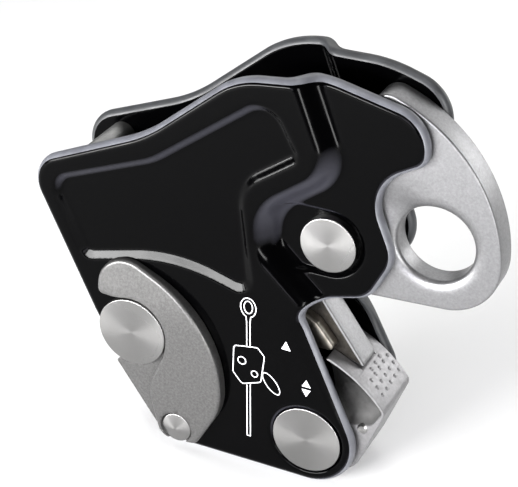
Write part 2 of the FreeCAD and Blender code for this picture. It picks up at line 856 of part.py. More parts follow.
def tail_slot_corners():
    """The slot that the arm's tail swings into, measured from the lever's axle."""
    notch, tip = ARM_TAIL_SHARES[:2]
    gap = size("lever_gap")
    floor = GRIP * tip[1] - LEVER[1] - gap
    slope = (tip[0] - notch[0]) / (tip[1] - notch[1])
    low = ARM[0] - LEVER[0] + GRIP * tip[0] + gap * math.hypot(1, slope) - gap * slope
    rise = LEVER_REACH - floor + gap
    top = low + rise * slope
    far = low - LEVER_REACH
    return [
        (low, floor, size("small_round")),
        (top, floor + rise, ZERO),
        (far, floor + rise, ZERO),
        (far, floor, ZERO),
    ]


def make_detent_plunger():
    """The small plunger in the lever's front side that rubs along the front plate."""
    radius = size("plunger_radius")
    near = -(size("lever_wide") * HALF_SHARE) - size("plunger_lift")
    edge = size("plunger_lift")
    far = near + size("plunger_tall")
    profile = [
        (ZERO, near),
        (radius - edge, near),
        (radius, near + edge),
        (radius, far),
        (ZERO, far),
    ]
    return turned("detent_plunger", profile, PLUNGER[0], PLUNGER[1])


def make_lever_bush():
    """The plain bearing in the lever's boss."""
    inner = size("lever_axle_radius") + GAP
    half = size("lever_wide") * HALF_SHARE
    return ring("lever_bush", LEVER[0], LEVER[1], inner, inner + size("bush_wall"), -half, half)


def make_lever_shims():
    """A thin washer each side of the lever's boss."""
    inner = size("lever_axle_radius") + GAP
    outer = inner + size("washer_rim")
    near = size("lever_wide") * HALF_SHARE + GAP
    shims = []
    for name, low in (("lever_shim_front", -MAIN_INNER + GAP), ("lever_shim_rear", near)):
        high = low + (MAIN_INNER - near - GAP)
        shims.append(ring(name, LEVER[0], LEVER[1], inner, outer, low, high))
    return group("lever_shims", shims)


def make_latch():
    """The crescent latch, with a thinner lip that slides under the stud's head."""
    body = new_body("latch", LATCH[0], LATCH[1])
    reach = span(LATCH[0] - STUD[0], STUD[1] - LATCH[1])
    level = -MAIN_OUTER - size("latch_lift")
    outline = new_sketch(body, level)
    draw_outline(outline, corners_of(LATCH_SHARES, reach, reach))
    pad(body, outline, size("latch_tall"), False)
    hollow = new_sketch(body, level)
    hollow_radius = size("stud_head_radius") + size("head_gap")
    draw_circle(hollow, hollow_radius, STUD[0] - LATCH[0], STUD[1] - LATCH[1])
    pocket(body, hollow, size("latch_tall"), True)
    lip = new_sketch(body, level)
    lip_radius = reach - size("neck_radius") - size("head_gap")
    draw_outline(lip, corners_of(LIP_SHARES, lip_radius, lip_radius))
    pad(body, lip, size("flange_tall"), False)
    bore = new_sketch(body, level)
    draw_circle(bore, size("rivet_radius") + GAP)
    pocket(body, bore, size("latch_tall"), True)
    seat = new_sketch(body, level - size("latch_tall"))
    draw_circle(seat, size("rivet_head_radius") + size("head_gap"))
    pocket(body, seat, size("latch_sink"), False)
    return body


PIECES = [
    make_front_plate(),
    make_rear_plate(),
    *make_axles(),
    make_lock_stud(),
    make_top_post(),
    make_rope_anvil(),
    make_anvil_rivets(),
    make_latch_rivet(),
    make_arm(),
    make_arm_bush(),
    make_cam_shoe(),
    make_cam_rivet(),
    make_lever(),
    make_detent_plunger(),
    make_lever_bush(),
    make_lever_shims(),
    make_latch(),
]

DOC.recompute()
for item in DOC.Objects:
    if "Invalid" in item.State or "Error" in item.State:
        raise ValueError("%s failed: %s" % (item.Label, item.State))
for piece in PIECES:
    if piece.Shape.isNull() or not piece.Shape.isValid():
        raise ValueError("%s has no valid shape" % piece.Label)

os.makedirs("parts", exist_ok=True)
for piece in PIECES:
    piece.Shape.exportStep("parts/%s.step" % piece.Label)
    box = piece.Shape.BoundBox
    print("%s: %d solids, volume %.1f, x %.2f to %.2f, y %.2f to %.2f, z %.2f to %.2f" % (
        piece.Label, len(piece.Shape.Solids), piece.Shape.Volume,
        box.XMin, box.XMax, box.YMin, box.YMax, box.ZMin, box.ZMax))
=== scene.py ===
import math

import bmesh
import bpy
import numpy as np
from mathutils import Matrix, Vector
from mathutils.geometry import delaunay_2d_cdt


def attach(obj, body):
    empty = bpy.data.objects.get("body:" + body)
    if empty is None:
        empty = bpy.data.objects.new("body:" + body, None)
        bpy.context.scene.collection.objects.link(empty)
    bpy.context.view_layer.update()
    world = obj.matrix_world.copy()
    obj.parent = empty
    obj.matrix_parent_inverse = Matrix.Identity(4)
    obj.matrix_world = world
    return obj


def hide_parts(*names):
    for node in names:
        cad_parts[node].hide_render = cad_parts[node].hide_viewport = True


# Rope fall arrester, dressed over its frame. Lengths in this file are millimetres until they reach a
# mesh, where MM turns them into metres. X runs to the right, Z up, and Y away from the viewer.

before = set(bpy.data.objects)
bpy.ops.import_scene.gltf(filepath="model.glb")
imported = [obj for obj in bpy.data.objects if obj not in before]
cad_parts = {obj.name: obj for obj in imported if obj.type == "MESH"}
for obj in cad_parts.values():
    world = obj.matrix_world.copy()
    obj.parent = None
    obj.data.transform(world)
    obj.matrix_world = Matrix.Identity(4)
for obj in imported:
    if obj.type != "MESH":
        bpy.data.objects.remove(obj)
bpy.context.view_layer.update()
MM = 0.001

# Places and levels of the object, as in the part's source.
ARM = (24.509, 0.0)
LEVER = (21.832, -50.2)
STUD = (-21.319, -31.3)
LATCH = (-10.516, -55.4)
POST = (-34.416, 7.0)
PLATE_WIDE = 95.6
PLATE_TALL = 100.0
MAIN_OUTER = 10.9
MAIN_INNER = 8.3
JOGGLE_STEP = 4.5
PANEL_DEEP = 1.1
SINK_RADIUS = 8.2
SINK_DEEP = 1.3
LEVER_SEAT = 8.75
HEAD_DEEP = 1.4
NECK_SLOT = 5.1
NECK_RADIUS = 4.8
NOTCH_WAY = (-0.399, -0.917)
STUD_HEAD = 8.63
ANVIL_MIDDLE = -10.46
ARM_REACH = 37.8
ARM_HALF = 3.5
GRIP = 27.3
TAIL_CLEAR = 0.6
EYE = (47.111, 3.595)
EYE_RADIUS = 8.7
HUB_RADIUS = 5.2
CAM_RIVET = (17.52, -22.195)
LEVER_REACH = math.hypot(ARM[0] - LEVER[0], ARM[1] - LEVER[1]) - GRIP - TAIL_CLEAR
LEVER_BOSS = 0.507 * LEVER_REACH
LEVER_HALF = 7.8
LEVER_BORE = 5.7
LATCH_REACH = math.hypot(LATCH[0] - STUD[0], LATCH[1] - STUD[1])

# Meshing: steps of grids and rings, clearances as shares of the grid's step, and crease angles.
FINE = 0.4
COARSE = 1.6
EDGE_CLEAR = 0.6
RING_CLEAR = 0.5
EDGE_STEPS = (0.0, 0.03, 0.09, 0.18, 0.30, 0.45, 0.64, 0.84, 1.0)
ARC_STEP = 0.35
ARC_ENDS = (0.03, 0.97)
BORE_STEP = 0.5
RING_STEP = 0.4
SMALL_STEP = 0.3
WELD = 0.002
FLAT_ANGLE = math.radians(0.5)
TURNED_CREASE = math.radians(35)
CAST_CREASE = math.radians(38)
BUMP_CREASE = math.radians(60)
SOFT_ANGLE = math.radians(28)
SOFT_SEGMENTS = 2

# Outlines: corners as shares of the sizes that they follow, and each corner's radius as a share of height.
FRONT_SHARES = (
    (-0.521, 0.051, 0.080), (-0.187, 0.189, 0.400), (0.044, 0.368, 0.200), (0.225, 0.387, 0.300),
    (0.479, 0.331, 0.090), (0.476, 0.230, 0.040), (0.345, 0.158, 0.095), (0.415, -0.008, 0.085),
    (0.356, -0.118, 0.070), (0.199, -0.159, 0.030), (0.416, -0.618, 0.116), (-0.126, -0.618, 0.080),
    (-0.344, -0.322, 0.300),
)
REAR_SHARES = (
    (-0.487, 0.087, 0.090), (-0.173, 0.202, 0.400), (0.084, 0.400, 0.250), (0.340, 0.401, 0.300),
    (0.492, 0.354, 0.100), (0.485, 0.235, 0.040), (0.351, 0.160, 0.080), (0.432, 0.018, 0.100),
    (0.351, -0.115, 0.060), (0.253, -0.148, 0.030), (0.371, -0.370, 0.080), (0.333, -0.618, 0.116),
    (-0.126, -0.618, 0.080), (-0.329, -0.322, 0.300),
)
BEND_SHARES = (
    (0.100, 0.600, 0.000), (0.262, 0.188, 0.075), (0.093, 0.069, 0.125), (0.093, -0.041, 0.085),
    (0.560, -0.459, 0.000), (0.900, -0.459, 0.000), (0.900, 0.600, 0.000),
)
PANEL_SHARES = (
    (-0.457, 0.027, 0.050), (-0.172, 0.134, 0.200), (0.127, 0.344, 0.060), (0.204, 0.209, 0.025),
    (0.058, 0.111, 0.090), (0.089, -0.161, 0.035), (-0.119, -0.105, 0.400), (-0.368, -0.167, 0.030),
)
ARM_HEAD_SHARES = (
    (0.259, 0.979, 0.106), (0.955, 0.693, 1.000), (1.005, -0.280, 0.330),
)
ARM_TAIL_SHARES = (
    (-0.180, -0.469, 0.091), (0.305, -1.160, 0.012), (-0.080, -1.044, 0.109), (-0.363, -0.864, 0.294),
    (-0.575, -0.534, 0.109), (-0.461, -0.129, 0.000), (-0.439, 0.312, 0.294),
)
LATCH_SHARES = (
    (-0.746, 1.220, 0.057), (-0.746, 1.761, 0.284), (0.432, 1.212, 1.098), (0.452, 0.330, 0.620),
    (0.193, -0.121, 0.095), (-0.163, -0.144, 0.140), (-0.284, 0.383, 0.455), (-0.072, 0.799, 0.000),
    (-0.447, 1.220, 0.000),
)
LIP_SHARES = (
    (-0.769, 0.639, 0.020), (-0.535, 0.921, 0.930), (-0.174, 0.985, 0.000), (0.100, 0.750, 0.000),
    (0.100, 0.000, 0.000), (-0.203, -0.179, 0.174),
)
LEVER_SHARES = (
    (0.111, 0.991, 0.036), (0.500, 0.845, 1.350), (0.795, 0.480, 0.090), (0.462, -0.360, 0.300),
    (-0.180, -0.360, 0.000), (-0.180, 0.300, 0.000), (0.209, 0.511, 0.133), (0.164, 0.809, 0.067),
)
SCOOP_SHARES = (
    (0.115, 0.962, 0.015), (0.495, 0.817, 1.310), (0.768, 0.484, 0.050), (0.655, 0.300, 0.110),
    (0.400, 0.240, 0.060), (-0.100, 0.450, 0.020), (-0.100, 0.750, 0.020),
)


def mesh_from(work, name):
    """A new mesh from a bmesh, which is freed."""
    mesh = bpy.data.meshes.new(name)
    work.to_mesh(mesh)
    work.free()
    return mesh


def add_piece(name, data):
    """A new object for a mesh, light or camera, linked to the scene."""
    piece = bpy.data.objects.new(name, data)
    bpy.context.scene.collection.objects.link(piece)
    return piece


def scaled(shares, wide, tall, at=(0.0, 0.0)):
    """Corners in millimetres, from shares of a width and a height, about a place."""
    return [(at[0] + wide * x, at[1] + tall * z, tall * r) for x, z, r in shares]


def outline_of(corners, step=ARC_STEP):
    """The outline's points, with each corner's arc walked in short steps."""
    points = []
    count = len(corners)
    for index, (x, z, radius) in enumerate(corners):
        spot = Vector((x, z))
        back = (Vector(corners[index - 1][:2]) - spot).normalized()
        ahead = (Vector(corners[(index + 1) % count][:2]) - spot).normalized()
        if radius <= 0:
            points.append(spot)
            continue
        half = back.angle(ahead) / 2
        centre = spot + (back + ahead).normalized() * (radius / math.sin(half))
        begin = spot + back * (radius / math.tan(half)) - centre
        finish = spot + ahead * (radius / math.tan(half)) - centre
        turn = begin.angle(finish)
        steps = max(3, int(radius * turn / step))
        sign = 1 if begin.x * finish.y - begin.y * finish.x > 0 else -1
        for number in range(steps + 1):
            angle = sign * turn * number / steps
            turned = Matrix.Rotation(angle, 2) @ begin
            points.append(centre + turned)
    dense = []
    for index, point in enumerate(points):
        following = points[(index + 1) % len(points)]
        steps = max(1, int((following - point).length / (step * 2)))
        for number in range(steps):
            dense.append(point.lerp(following, number / steps))
    return np.array([tuple(p) for p in dense])


def edge_distance(points, polygon):
    """The distance of each point from the polygon's edge, and positive inside it."""
    start = polygon
    end = np.roll(polygon, -1, axis=0)
    along = end - start
    length = (along ** 2).sum(1)
    best = np.full(len(points), 1e9)
    inside = np.zeros(len(points), bool)
    for a, b, d, l in zip(start, end, along, length):
        if l == 0:
            continue
        rel = points - a
        t = np.clip((rel @ d) / l, 0, 1)
        gap = ((rel - t[:, None] * d) ** 2).sum(1)
        best = np.minimum(best, gap)
        crosses = (a[1] > points[:, 1]) != (b[1] > points[:, 1])
        if b[1] != a[1]:
            at = a[0] + (points[:, 1] - a[1]) * (b[0] - a[0]) / (b[1] - a[1])
            inside ^= crosses & (points[:, 0] < at)
    return np.sqrt(best) * np.where(inside, 1, -1)


def smooth(value, low, high):
    """A soft step from 0 at low to 1 at high."""
    t = np.clip((value - low) / (high - low), 0, 1)
    return t * t * (3 - 2 * t)


def inset_ring(polygon, inward):
    """The polygon drawn in by a small distance."""
    before = polygon - np.roll(polygon, 1, axis=0)
    after = np.roll(polygon, -1, axis=0) - polygon
    tangent = before / np.linalg.norm(before, axis=1)[:, None] + after / np.linalg.norm(after, axis=1)[:, None]
    tangent /= np.linalg.norm(tangent, axis=1)[:, None]
    area = 0.5 * np.sum(polygon[:, 0] * np.roll(polygon[:, 1], -1) - polygon[:, 1] * np.roll(polygon[:, 0], -1))
    normal = np.stack([-tangent[:, 1], tangent[:, 0]], 1) * (1 if area > 0 else -1)
    return polygon + normal * inward


def ring_points(centre, radius, step):
    """Points round a circle."""
    count = max(24, int(2 * math.pi * radius / step))
    angles = np.arange(count) * 2 * math.pi / count
    return np.stack([centre[0] + radius * np.cos(angles), centre[1] + radius * np.sin(angles)], 1)


def relief(name, polygon, front, back, holes=(), rings=(), near=None, edge=1.0, hole_edge=0.5):
    """A thin body between two height fields over one outline. Front and back give y for plan points."""
    points = []
    edges = []

    def add_ring(ring):
        start = len(points)
        points.extend(ring.tolist())
        count = len(ring)
        edges.extend((start + i, start + (i + 1) % count) for i in range(count))

    for share in EDGE_STEPS:
        add_ring(inset_ring(polygon, share * edge))
    for hole in holes:
        for share in EDGE_STEPS[::2]:
            add_ring(inset_ring(hole, -share * hole_edge))
    for ring in rings:
        add_ring(ring)
    low = polygon.min(0)
    high = polygon.max(0)
    across = np.arange(low[0], high[0], FINE)
    up = np.arange(low[1], high[1], FINE)
    grid = np.stack(np.meshgrid(across, up, indexing="ij"), 2)
    keep = np.zeros(grid.shape[:2], bool)
    stride = int(round(COARSE / FINE))
    keep[::stride, ::stride] = True
    flat = grid.reshape(-1, 2)
    depth = edge_distance(flat, polygon)
    inside = depth > edge + FINE * EDGE_CLEAR
    for hole in holes:
        gap = -edge_distance(flat, hole)
        inside &= gap > hole_edge + FINE * EDGE_CLEAR
        depth = np.minimum(depth, gap)
    chosen = keep.ravel() | (near(flat, depth) if near is not None else False)
    chosen &= inside
    for ring in rings:
        centre_gap = np.abs(edge_distance(flat[chosen], ring)) > FINE * RING_CLEAR
        index = np.flatnonzero(chosen)
        chosen[index[~centre_gap]] = False
    points.extend(flat[chosen].tolist())
    coords = [Vector(p) for p in points]
    verts, _, faces, _, _, _ = delaunay_2d_cdt(coords, edges, [], 0, 1e-6)
    plan = np.array([tuple(v) for v in verts])
    tris = np.array([f for f in faces if len(f) == 3])
    middle = plan[tris].mean(1)
    wanted = edge_distance(middle, polygon) > 0
    for hole in holes:
        wanted &= edge_distance(middle, hole) < 0
    tris = tris[wanted]
    a, b, c = plan[tris[:, 0]], plan[tris[:, 1]], plan[tris[:, 2]]
    turn = (b[:, 0] - a[:, 0]) * (c[:, 1] - a[:, 1]) - (b[:, 1] - a[:, 1]) * (c[:, 0] - a[:, 0])
    tris[turn < 0] = tris[turn < 0][:, ::-1]
    count = len(plan)
    spots = np.concatenate([np.stack([plan[:, 0], side(plan), plan[:, 1]], 1) for side in (front, back)]) * MM
    used = {(tri[i], tri[(i + 1) % 3]): True for tri in tris for i in range(3)}
    quads = [(i, i + count, j + count, j) for i, j in used if (j, i) not in used]
    mesh = bpy.data.meshes.new(name)
    all_faces = tris.tolist() + (tris[:, ::-1] + count).tolist() + quads
    mesh.from_pydata(spots.tolist(), [], all_faces)
    work = bmesh.new()
    work.from_mesh(mesh)
    loose = [v for v in work.verts if not v.link_faces]
    bmesh.ops.delete(work, geom=loose, context="VERTS")
    bmesh.ops.recalc_face_normals(work, faces=work.faces)
    work.to_mesh(mesh)
    work.free()
    mesh.shade_smooth()
    return add_piece(name, mesh)


def rounding(gap, radius):
    """How far a surface falls away at a distance from its edge, for a quarter-round edge."""
    t = np.clip(1 - gap / radius, 0, 1)
    return radius * (1 - np.sqrt(1 - t * t))


def capsule(centre, way, radius, length, step=SMALL_STEP):
    """The outline of a slot that starts round about a centre and runs on along a direction."""
    run = np.array(way) / np.hypot(*way)
    side = np.array([-run[1], run[0]])
    angles = np.linspace(math.pi / 2, 3 * math.pi / 2, int(math.pi * radius / step))
    round_end = [np.array(centre) + radius * (math.cos(a) * run + math.sin(a) * side) for a in angles]
    steps = np.linspace(0, length, int(length / step))
    left = [np.array(centre) - radius * side + run * s for s in steps]
    right = [np.array(centre) + radius * side + run * s for s in steps[::-1]]
    return np.array(round_end[:-1] + left + right[:-1])


def ramp(value, low, high, blur):
    """A straight slope from 0 at low to 1 at high, with its two bends softened."""
    def total(at):
        rise = np.clip(at - low, 0, high - low)
        return rise * rise / (2 * (high - low)) + np.maximum(at - high, 0)
    return (total(value + blur) - total(value - blur)) / (2 * blur)


def reach(points, centre):
    """The distance of each point from a centre."""
    return np.hypot(points[:, 0] - centre[0], points[:, 1] - centre[1])


def gap_to(points, polygon, holes=()):
    """The distance of each point from the nearest edge of a holed outline."""
    gap = edge_distance(points, polygon)
    for hole in holes:
        gap = np.minimum(gap, -edge_distance(points, hole))
    return np.maximum(gap, 0)


def joined(name, pieces):
    """Several meshes as one piece."""
    work = bmesh.new()
    for piece in pieces:
        work.from_mesh(piece.data)
        bpy.data.objects.remove(piece)
    return add_piece(name, mesh_from(work, name))


def lathe(name, profile, place, count=128):
    """A piece turned about an axis along Y. The profile's corners are (radius, y), from the front."""
    work = bmesh.new()
    rows = []
    for radius, along in profile:
        if radius == 0:
            rows.append([work.verts.new((place[0] * MM, along * MM, place[1] * MM))])
            continue
        row = []
        for number in range(count):
            angle = 2 * math.pi * number / count
            across = place[0] + radius * math.cos(angle)
            up = place[1] + radius * math.sin(angle)
            row.append(work.verts.new((across * MM, along * MM, up * MM)))
        rows.append(row)
    for first, second in zip(rows, rows[1:]):
        for number in range(count):
            following = (number + 1) % count
            if len(first) == 1:
                work.faces.new((first[0], second[number], second[following]))
            elif len(second) == 1:
                work.faces.new((first[number], second[0], first[following]))
            else:
                work.faces.new((first[number], second[number], second[following], first[following]))
    bmesh.ops.recalc_face_normals(work, faces=work.faces)
    for face in work.faces:
        face.smooth = True
    for edge in work.edges:
        if len(edge.link_faces) == 2 and edge.calc_face_angle(0) > TURNED_CREASE:
            edge.smooth = False
    return add_piece(name, mesh_from(work, name))


def rounded(corners, steps=5):
    """A turned profile, from corners of (radius, y, the corner's own rounding)."""
    profile = []
    for index, (radius, along, soft) in enumerate(corners):
        if not soft:
            profile.append((radius, along))
            continue
        spot = Vector((radius, along))
        back = (Vector(corners[index - 1][:2]) - spot).normalized() * soft
        ahead = (Vector(corners[index + 1][:2]) - spot).normalized() * soft
        for number in range(steps + 1):
            angle = math.pi / 2 * number / steps
            profile.append(tuple(spot + back * (1 - math.sin(angle)) + ahead * (1 - math.cos(angle))))
    return profile


def softened(name, node, width):
    """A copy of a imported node's mesh with its edges rounded."""
    work = bmesh.new()
    work.from_mesh(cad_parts[node].data)
    bmesh.ops.remove_doubles(work, verts=work.verts, dist=WELD * MM)
    bmesh.ops.dissolve_limit(work, angle_limit=FLAT_ANGLE, verts=work.verts, edges=work.edges)
    mesh = mesh_from(work, name)
    mesh.shade_smooth()
    piece = add_piece(name, mesh)
    bevel = piece.modifiers.new("edges", "BEVEL")
    bevel.width = width * MM
    bevel.segments = SOFT_SEGMENTS
    bevel.limit_method = "ANGLE"
    bevel.angle_limit = SOFT_ANGLE
    bevel.use_clamp_overlap = False
    bevel.miter_outer = "MITER_ARC"
    bevel.harden_normals = True
    return piece


# Finishes. The black coat gets a painted reflection on the faces that turn along the first direction below, and
# the lever's scoop gets painted shade that lightens along the second.

SHEEN_WAY = (0.6, 0.0, -0.8)
SCOOP_WAY = (0.80, 0.0, -0.60)
SCOOP_FROM = 43.0
SCOOP_TO = 57.0


def new_material(name, base, roughness, metallic=0.0, specular=0.5):
    """A material, its node tree and its shader."""
    material = bpy.data.materials.new(name)
    material.use_nodes = True
    tree = material.node_tree
    shader = tree.nodes["Principled BSDF"]
    shader.inputs["Base Color"].default_value = (*base, 1)
    shader.inputs["Roughness"].default_value = roughness
    shader.inputs["Metallic"].default_value = metallic
    shader.inputs["Specular IOR Level"].default_value = specular
    return material, tree, shader


def add_noise(tree, scale, detail=3.0, stretch=(1, 1, 1), rough=0.5):
    """A noise over the object's own coordinates."""
    place = tree.nodes.new("ShaderNodeTexCoord")
    turn = tree.nodes.new("ShaderNodeMapping")
    turn.inputs["Scale"].default_value = stretch
    noise = tree.nodes.new("ShaderNodeTexNoise")
    noise.inputs["Scale"].default_value = scale
    noise.inputs["Detail"].default_value = detail
    noise.inputs["Roughness"].default_value = rough
    tree.links.new(place.outputs["Object"], turn.inputs["Vector"])
    tree.links.new(turn.outputs["Vector"], noise.inputs["Vector"])
    return noise.outputs["Fac"]


def vary(tree, source, target, low, high, dip=0.3, peak=0.7):
    """A socket that runs between two values with a noise."""
    spread = tree.nodes.new("ShaderNodeMapRange")
    spread.inputs["From Min"].default_value = dip
    spread.inputs["From Max"].default_value = peak
    spread.inputs["To Min"].default_value = low
    spread.inputs["To Max"].default_value = high
    tree.links.new(source, spread.inputs["Value"])
    tree.links.new(spread.outputs["Result"], target)


def tint(tree, source, shader, first, second, dip=0.3, peak=0.7):
    """The base colour, run between two colours with a noise."""
    spread = tree.nodes.new("ShaderNodeValToRGB")
    spread.color_ramp.elements[0].position = dip
    spread.color_ramp.elements[0].color = (*first, 1)
    spread.color_ramp.elements[1].position = peak
    spread.color_ramp.elements[1].color = (*second, 1)
    tree.links.new(source, spread.inputs["Fac"])
    tree.links.new(spread.outputs["Color"], shader.inputs["Base Color"])


def bump(tree, shader, source, strength, distance):
    """A fine relief from a noise."""
    relief_node = tree.nodes.new("ShaderNodeBump")
    relief_node.inputs["Strength"].default_value = strength
    relief_node.inputs["Distance"].default_value = distance * MM
    tree.links.new(source, relief_node.inputs["Height"])
    tree.links.new(relief_node.outputs["Normal"], shader.inputs["Normal"])


def run_along(tree, source, way, low, high):
    """A share from 0 to 1 along a direction, over the object's coordinates or its normals."""
    place = tree.nodes.new("ShaderNodeTexCoord")
    along = tree.nodes.new("ShaderNodeVectorMath")
    along.operation = "DOT_PRODUCT"
    along.inputs[1].default_value = way
    tree.links.new(place.outputs[source], along.inputs[0])
    share = tree.nodes.new("ShaderNodeMapRange")
    share.inputs["From Min"].default_value = low
    share.inputs["From Max"].default_value = high
    tree.links.new(along.outputs["Value"], share.inputs["Value"])
    return share


def with_grain(tree, share, noise, amount):
    """A share with some noise added to it."""
    grain = tree.nodes.new("ShaderNodeMath")
    grain.operation = "MULTIPLY_ADD"
    grain.inputs[1].default_value = amount
    tree.links.new(noise, grain.inputs[0])
    tree.links.new(share.outputs["Result"], grain.inputs[2])
    return grain.outputs["Value"]


def gloss_black():
    """Black coating on forged plate, with a painted violet reflection of the pale floor on the faces that turn
    down.
    """
    material, tree, shader = new_material("gloss_black", (0.0006, 0.0006, 0.0008), 0.12, specular=0.05)
    vary(tree, add_noise(tree, 160, 4), shader.inputs["Roughness"], 0.08, 0.16)
    bump(tree, shader, add_noise(tree, 420, 2), 0.05, 0.05)
    # Painted reflection: faces that turn down get a lighter violet base colour.
    share = run_along(tree, "Normal", SHEEN_WAY, 0.16, 0.75)
    share.interpolation_type = "SMOOTHSTEP"
    painted_shading = with_grain(tree, share, add_noise(tree, 240, 4), 0.05)
    tint(tree, painted_shading, shader, (0.0004, 0.0004, 0.0005), (0.030, 0.030, 0.037), 0.1, 1.1)
    return material


def painted_rim_sheen(name, dark, light, specular):
    """A plate's rounded rim: rougher than the face, with a grey base colour that is a painted reflection of the
    bright surroundings.
    """
    material, tree, shader = new_material(name, dark, 0.40, specular=specular)
    tint(tree, add_noise(tree, 300, 4), shader, dark, light)
    vary(tree, add_noise(tree, 200, 3), shader.inputs["Roughness"], 0.36, 0.5)
    bump(tree, shader, add_noise(tree, 900, 2), 0.12, 0.04)
    return material


def turned_steel(name, roughness):
    """Lathe-turned steel: fine rings round the axis and the bow-tie glints that they give."""
    material, tree, shader = new_material(name, (0.36, 0.36, 0.36), roughness, metallic=1.0)
    shader.inputs["Anisotropic"].default_value = 0.8
    tangent = tree.nodes.new("ShaderNodeTangent")
    tangent.direction_type = "RADIAL"
    tangent.axis = "Y"
    tree.links.new(tangent.outputs["Tangent"], shader.inputs["Tangent"])
    vary(tree, add_noise(tree, 60, 2), shader.inputs["Roughness"], roughness * 0.92, roughness * 1.08)
    tint(tree, add_noise(tree, 70, 2), shader, (0.235, 0.233, 0.229), (0.275, 0.272, 0.268))
    return material


def blasted(name, dark, light, roughness, grain, height, metallic=1.0):
    """A fine even matt metal, as bead blasting or tumbling leaves it."""
    material, tree, shader = new_material(name, dark, roughness, metallic=metallic)
    tint(tree, add_noise(tree, grain * 1.1, 6, rough=0.75), shader, dark, light)
    vary(tree, add_noise(tree, grain, 3), shader.inputs["Roughness"], roughness * 0.88, roughness * 1.12)
    bump(tree, shader, add_noise(tree, grain * 1.6, 4, rough=0.7), 0.35, height)
    return material


def scoop_painted_shade():
    """The lever's hollow sides: painted shade, dark and coarse, lightening towards the pad's lower end."""
    material, tree, shader = new_material("scoop_painted_shade", (0.1, 0.1, 0.1), 0.72, metallic=0.45, specular=0.25)
    share = run_along(tree, "Object", SCOOP_WAY, SCOOP_FROM * MM, SCOOP_TO * MM)
    painted_shading = with_grain(tree, share, add_noise(tree, 620, 5, rough=0.7), 0.45)
    tint(tree, painted_shading, shader, (0.006, 0.006, 0.006), (0.085, 0.084, 0.083), 0.3, 1.2)
    bump(tree, shader, add_noise(tree, 700, 4, rough=0.7), 0.4, 0.12)
    return material


def ground_steel():
    """Ground steel with its lines running round the cam."""
    material, tree, shader = new_material("ground_steel", (0.24, 0.2, 0.16), 0.36, metallic=1.0)
    lines = add_noise(tree, 900, 3, stretch=(0.15, 1.0, 0.15))
    tint(tree, add_noise(tree, 500, 5), shader, (0.17, 0.155, 0.13), (0.32, 0.30, 0.27))
    vary(tree, lines, shader.inputs["Roughness"], 0.28, 0.44)
    bump(tree, shader, lines, 0.3, 0.05)
    return material


def bearing_bronze():
    """Plain sintered bronze."""
    material, tree, shader = new_material("bearing_bronze", (0.45, 0.30, 0.14), 0.4, metallic=1.0)
    tint(tree, add_noise(tree, 600, 4), shader, (0.36, 0.23, 0.10), (0.52, 0.36, 0.18))
    bump(tree, shader, add_noise(tree, 1200, 3), 0.2, 0.03)
    return material


def printed_white():
    """The pad-printed marks."""
    material, tree, shader = new_material("printed_white", (0.82, 0.82, 0.84), 0.5)
    tint(tree, add_noise(tree, 700, 4), shader, (0.72, 0.72, 0.75), (0.86, 0.86, 0.88))
    return material


BLACK = gloss_black()
# The plates' rims: lighter grey base colours, a painted reflection of the bright surroundings.
RIM_SHEEN = painted_rim_sheen("painted_rim_sheen", (0.08, 0.082, 0.095), (0.125, 0.129, 0.145), 0.7)
REAR_RIM_SHEEN = painted_rim_sheen("rear_painted_rim_sheen", (0.03, 0.031, 0.033), (0.048, 0.05, 0.053), 0.35)
TURNED = turned_steel("turned_steel", 0.28)
LATCH_STEEL = blasted("latch_steel", (0.077, 0.076, 0.074), (0.150, 0.148, 0.147), 0.40, 1500, 0.06, metallic=0.75)
ARM_ALLOY = blasted("arm_alloy", (0.160, 0.160, 0.163), (0.235, 0.235, 0.239), 0.40, 1500, 0.07, metallic=0.9)
CAST_STEEL = blasted("cast_steel", (0.20, 0.198, 0.202), (0.275, 0.272, 0.277), 0.46, 1100, 0.08, metallic=0.85)
GREY_ALLOY = blasted("grey_alloy", (0.20, 0.20, 0.195), (0.28, 0.28, 0.275), 0.45, 500, 0.04)
# Painted shade: a dark brown base colour for the flat faces of the arm's tail, which lie in shadow between the
# plates.
TAIL_SHADE = blasted("tail_painted_shade", (0.045, 0.041, 0.036), (0.09, 0.083, 0.074), 0.45, 900, 0.06)
# Painted shade for the hollows in the lever's sides.
SCOOP_SHADE = scoop_painted_shade()
GROUND = ground_steel()
BRONZE = bearing_bronze()
WHITE = printed_white()


def dress(piece, material, body, slot, *nodes):
    """Give a piece its finish and its body, and hide the nodes that it stands for. The slot is not used."""
    piece.data.materials.clear()
    piece.data.materials.append(material)
    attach(piece, body)
    if nodes:
        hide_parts(*nodes)


def face_middles(piece):
    """The middle of each face."""
    middle = np.empty(len(piece.data.polygons) * 3)
    piece.data.polygons.foreach_get("center", middle)
    return middle.reshape(-1, 3) / MM


def face_leans(piece):
    """How squarely each face looks along Y, from 0 to 1."""
    return np.array([abs(face.normal.y) for face in piece.data.polygons])


def second_finish(piece, material, chosen):
    """Give the chosen faces a second finish."""
    piece.data.materials.append(material)
    piece.data.polygons.foreach_set("material_index", chosen.astype(np.int32))


def paint_rim_sheen(piece, polygon, gap, material):
    """Give the faces near the outline's edge a second material, for the rim's painted reflection."""
    second_finish(piece, material, edge_distance(face_middles(piece)[:, [0, 2]], polygon) < gap)


# Side plates. A wall or a bend is (where it starts, where it ends, blur), inwards from an outline.

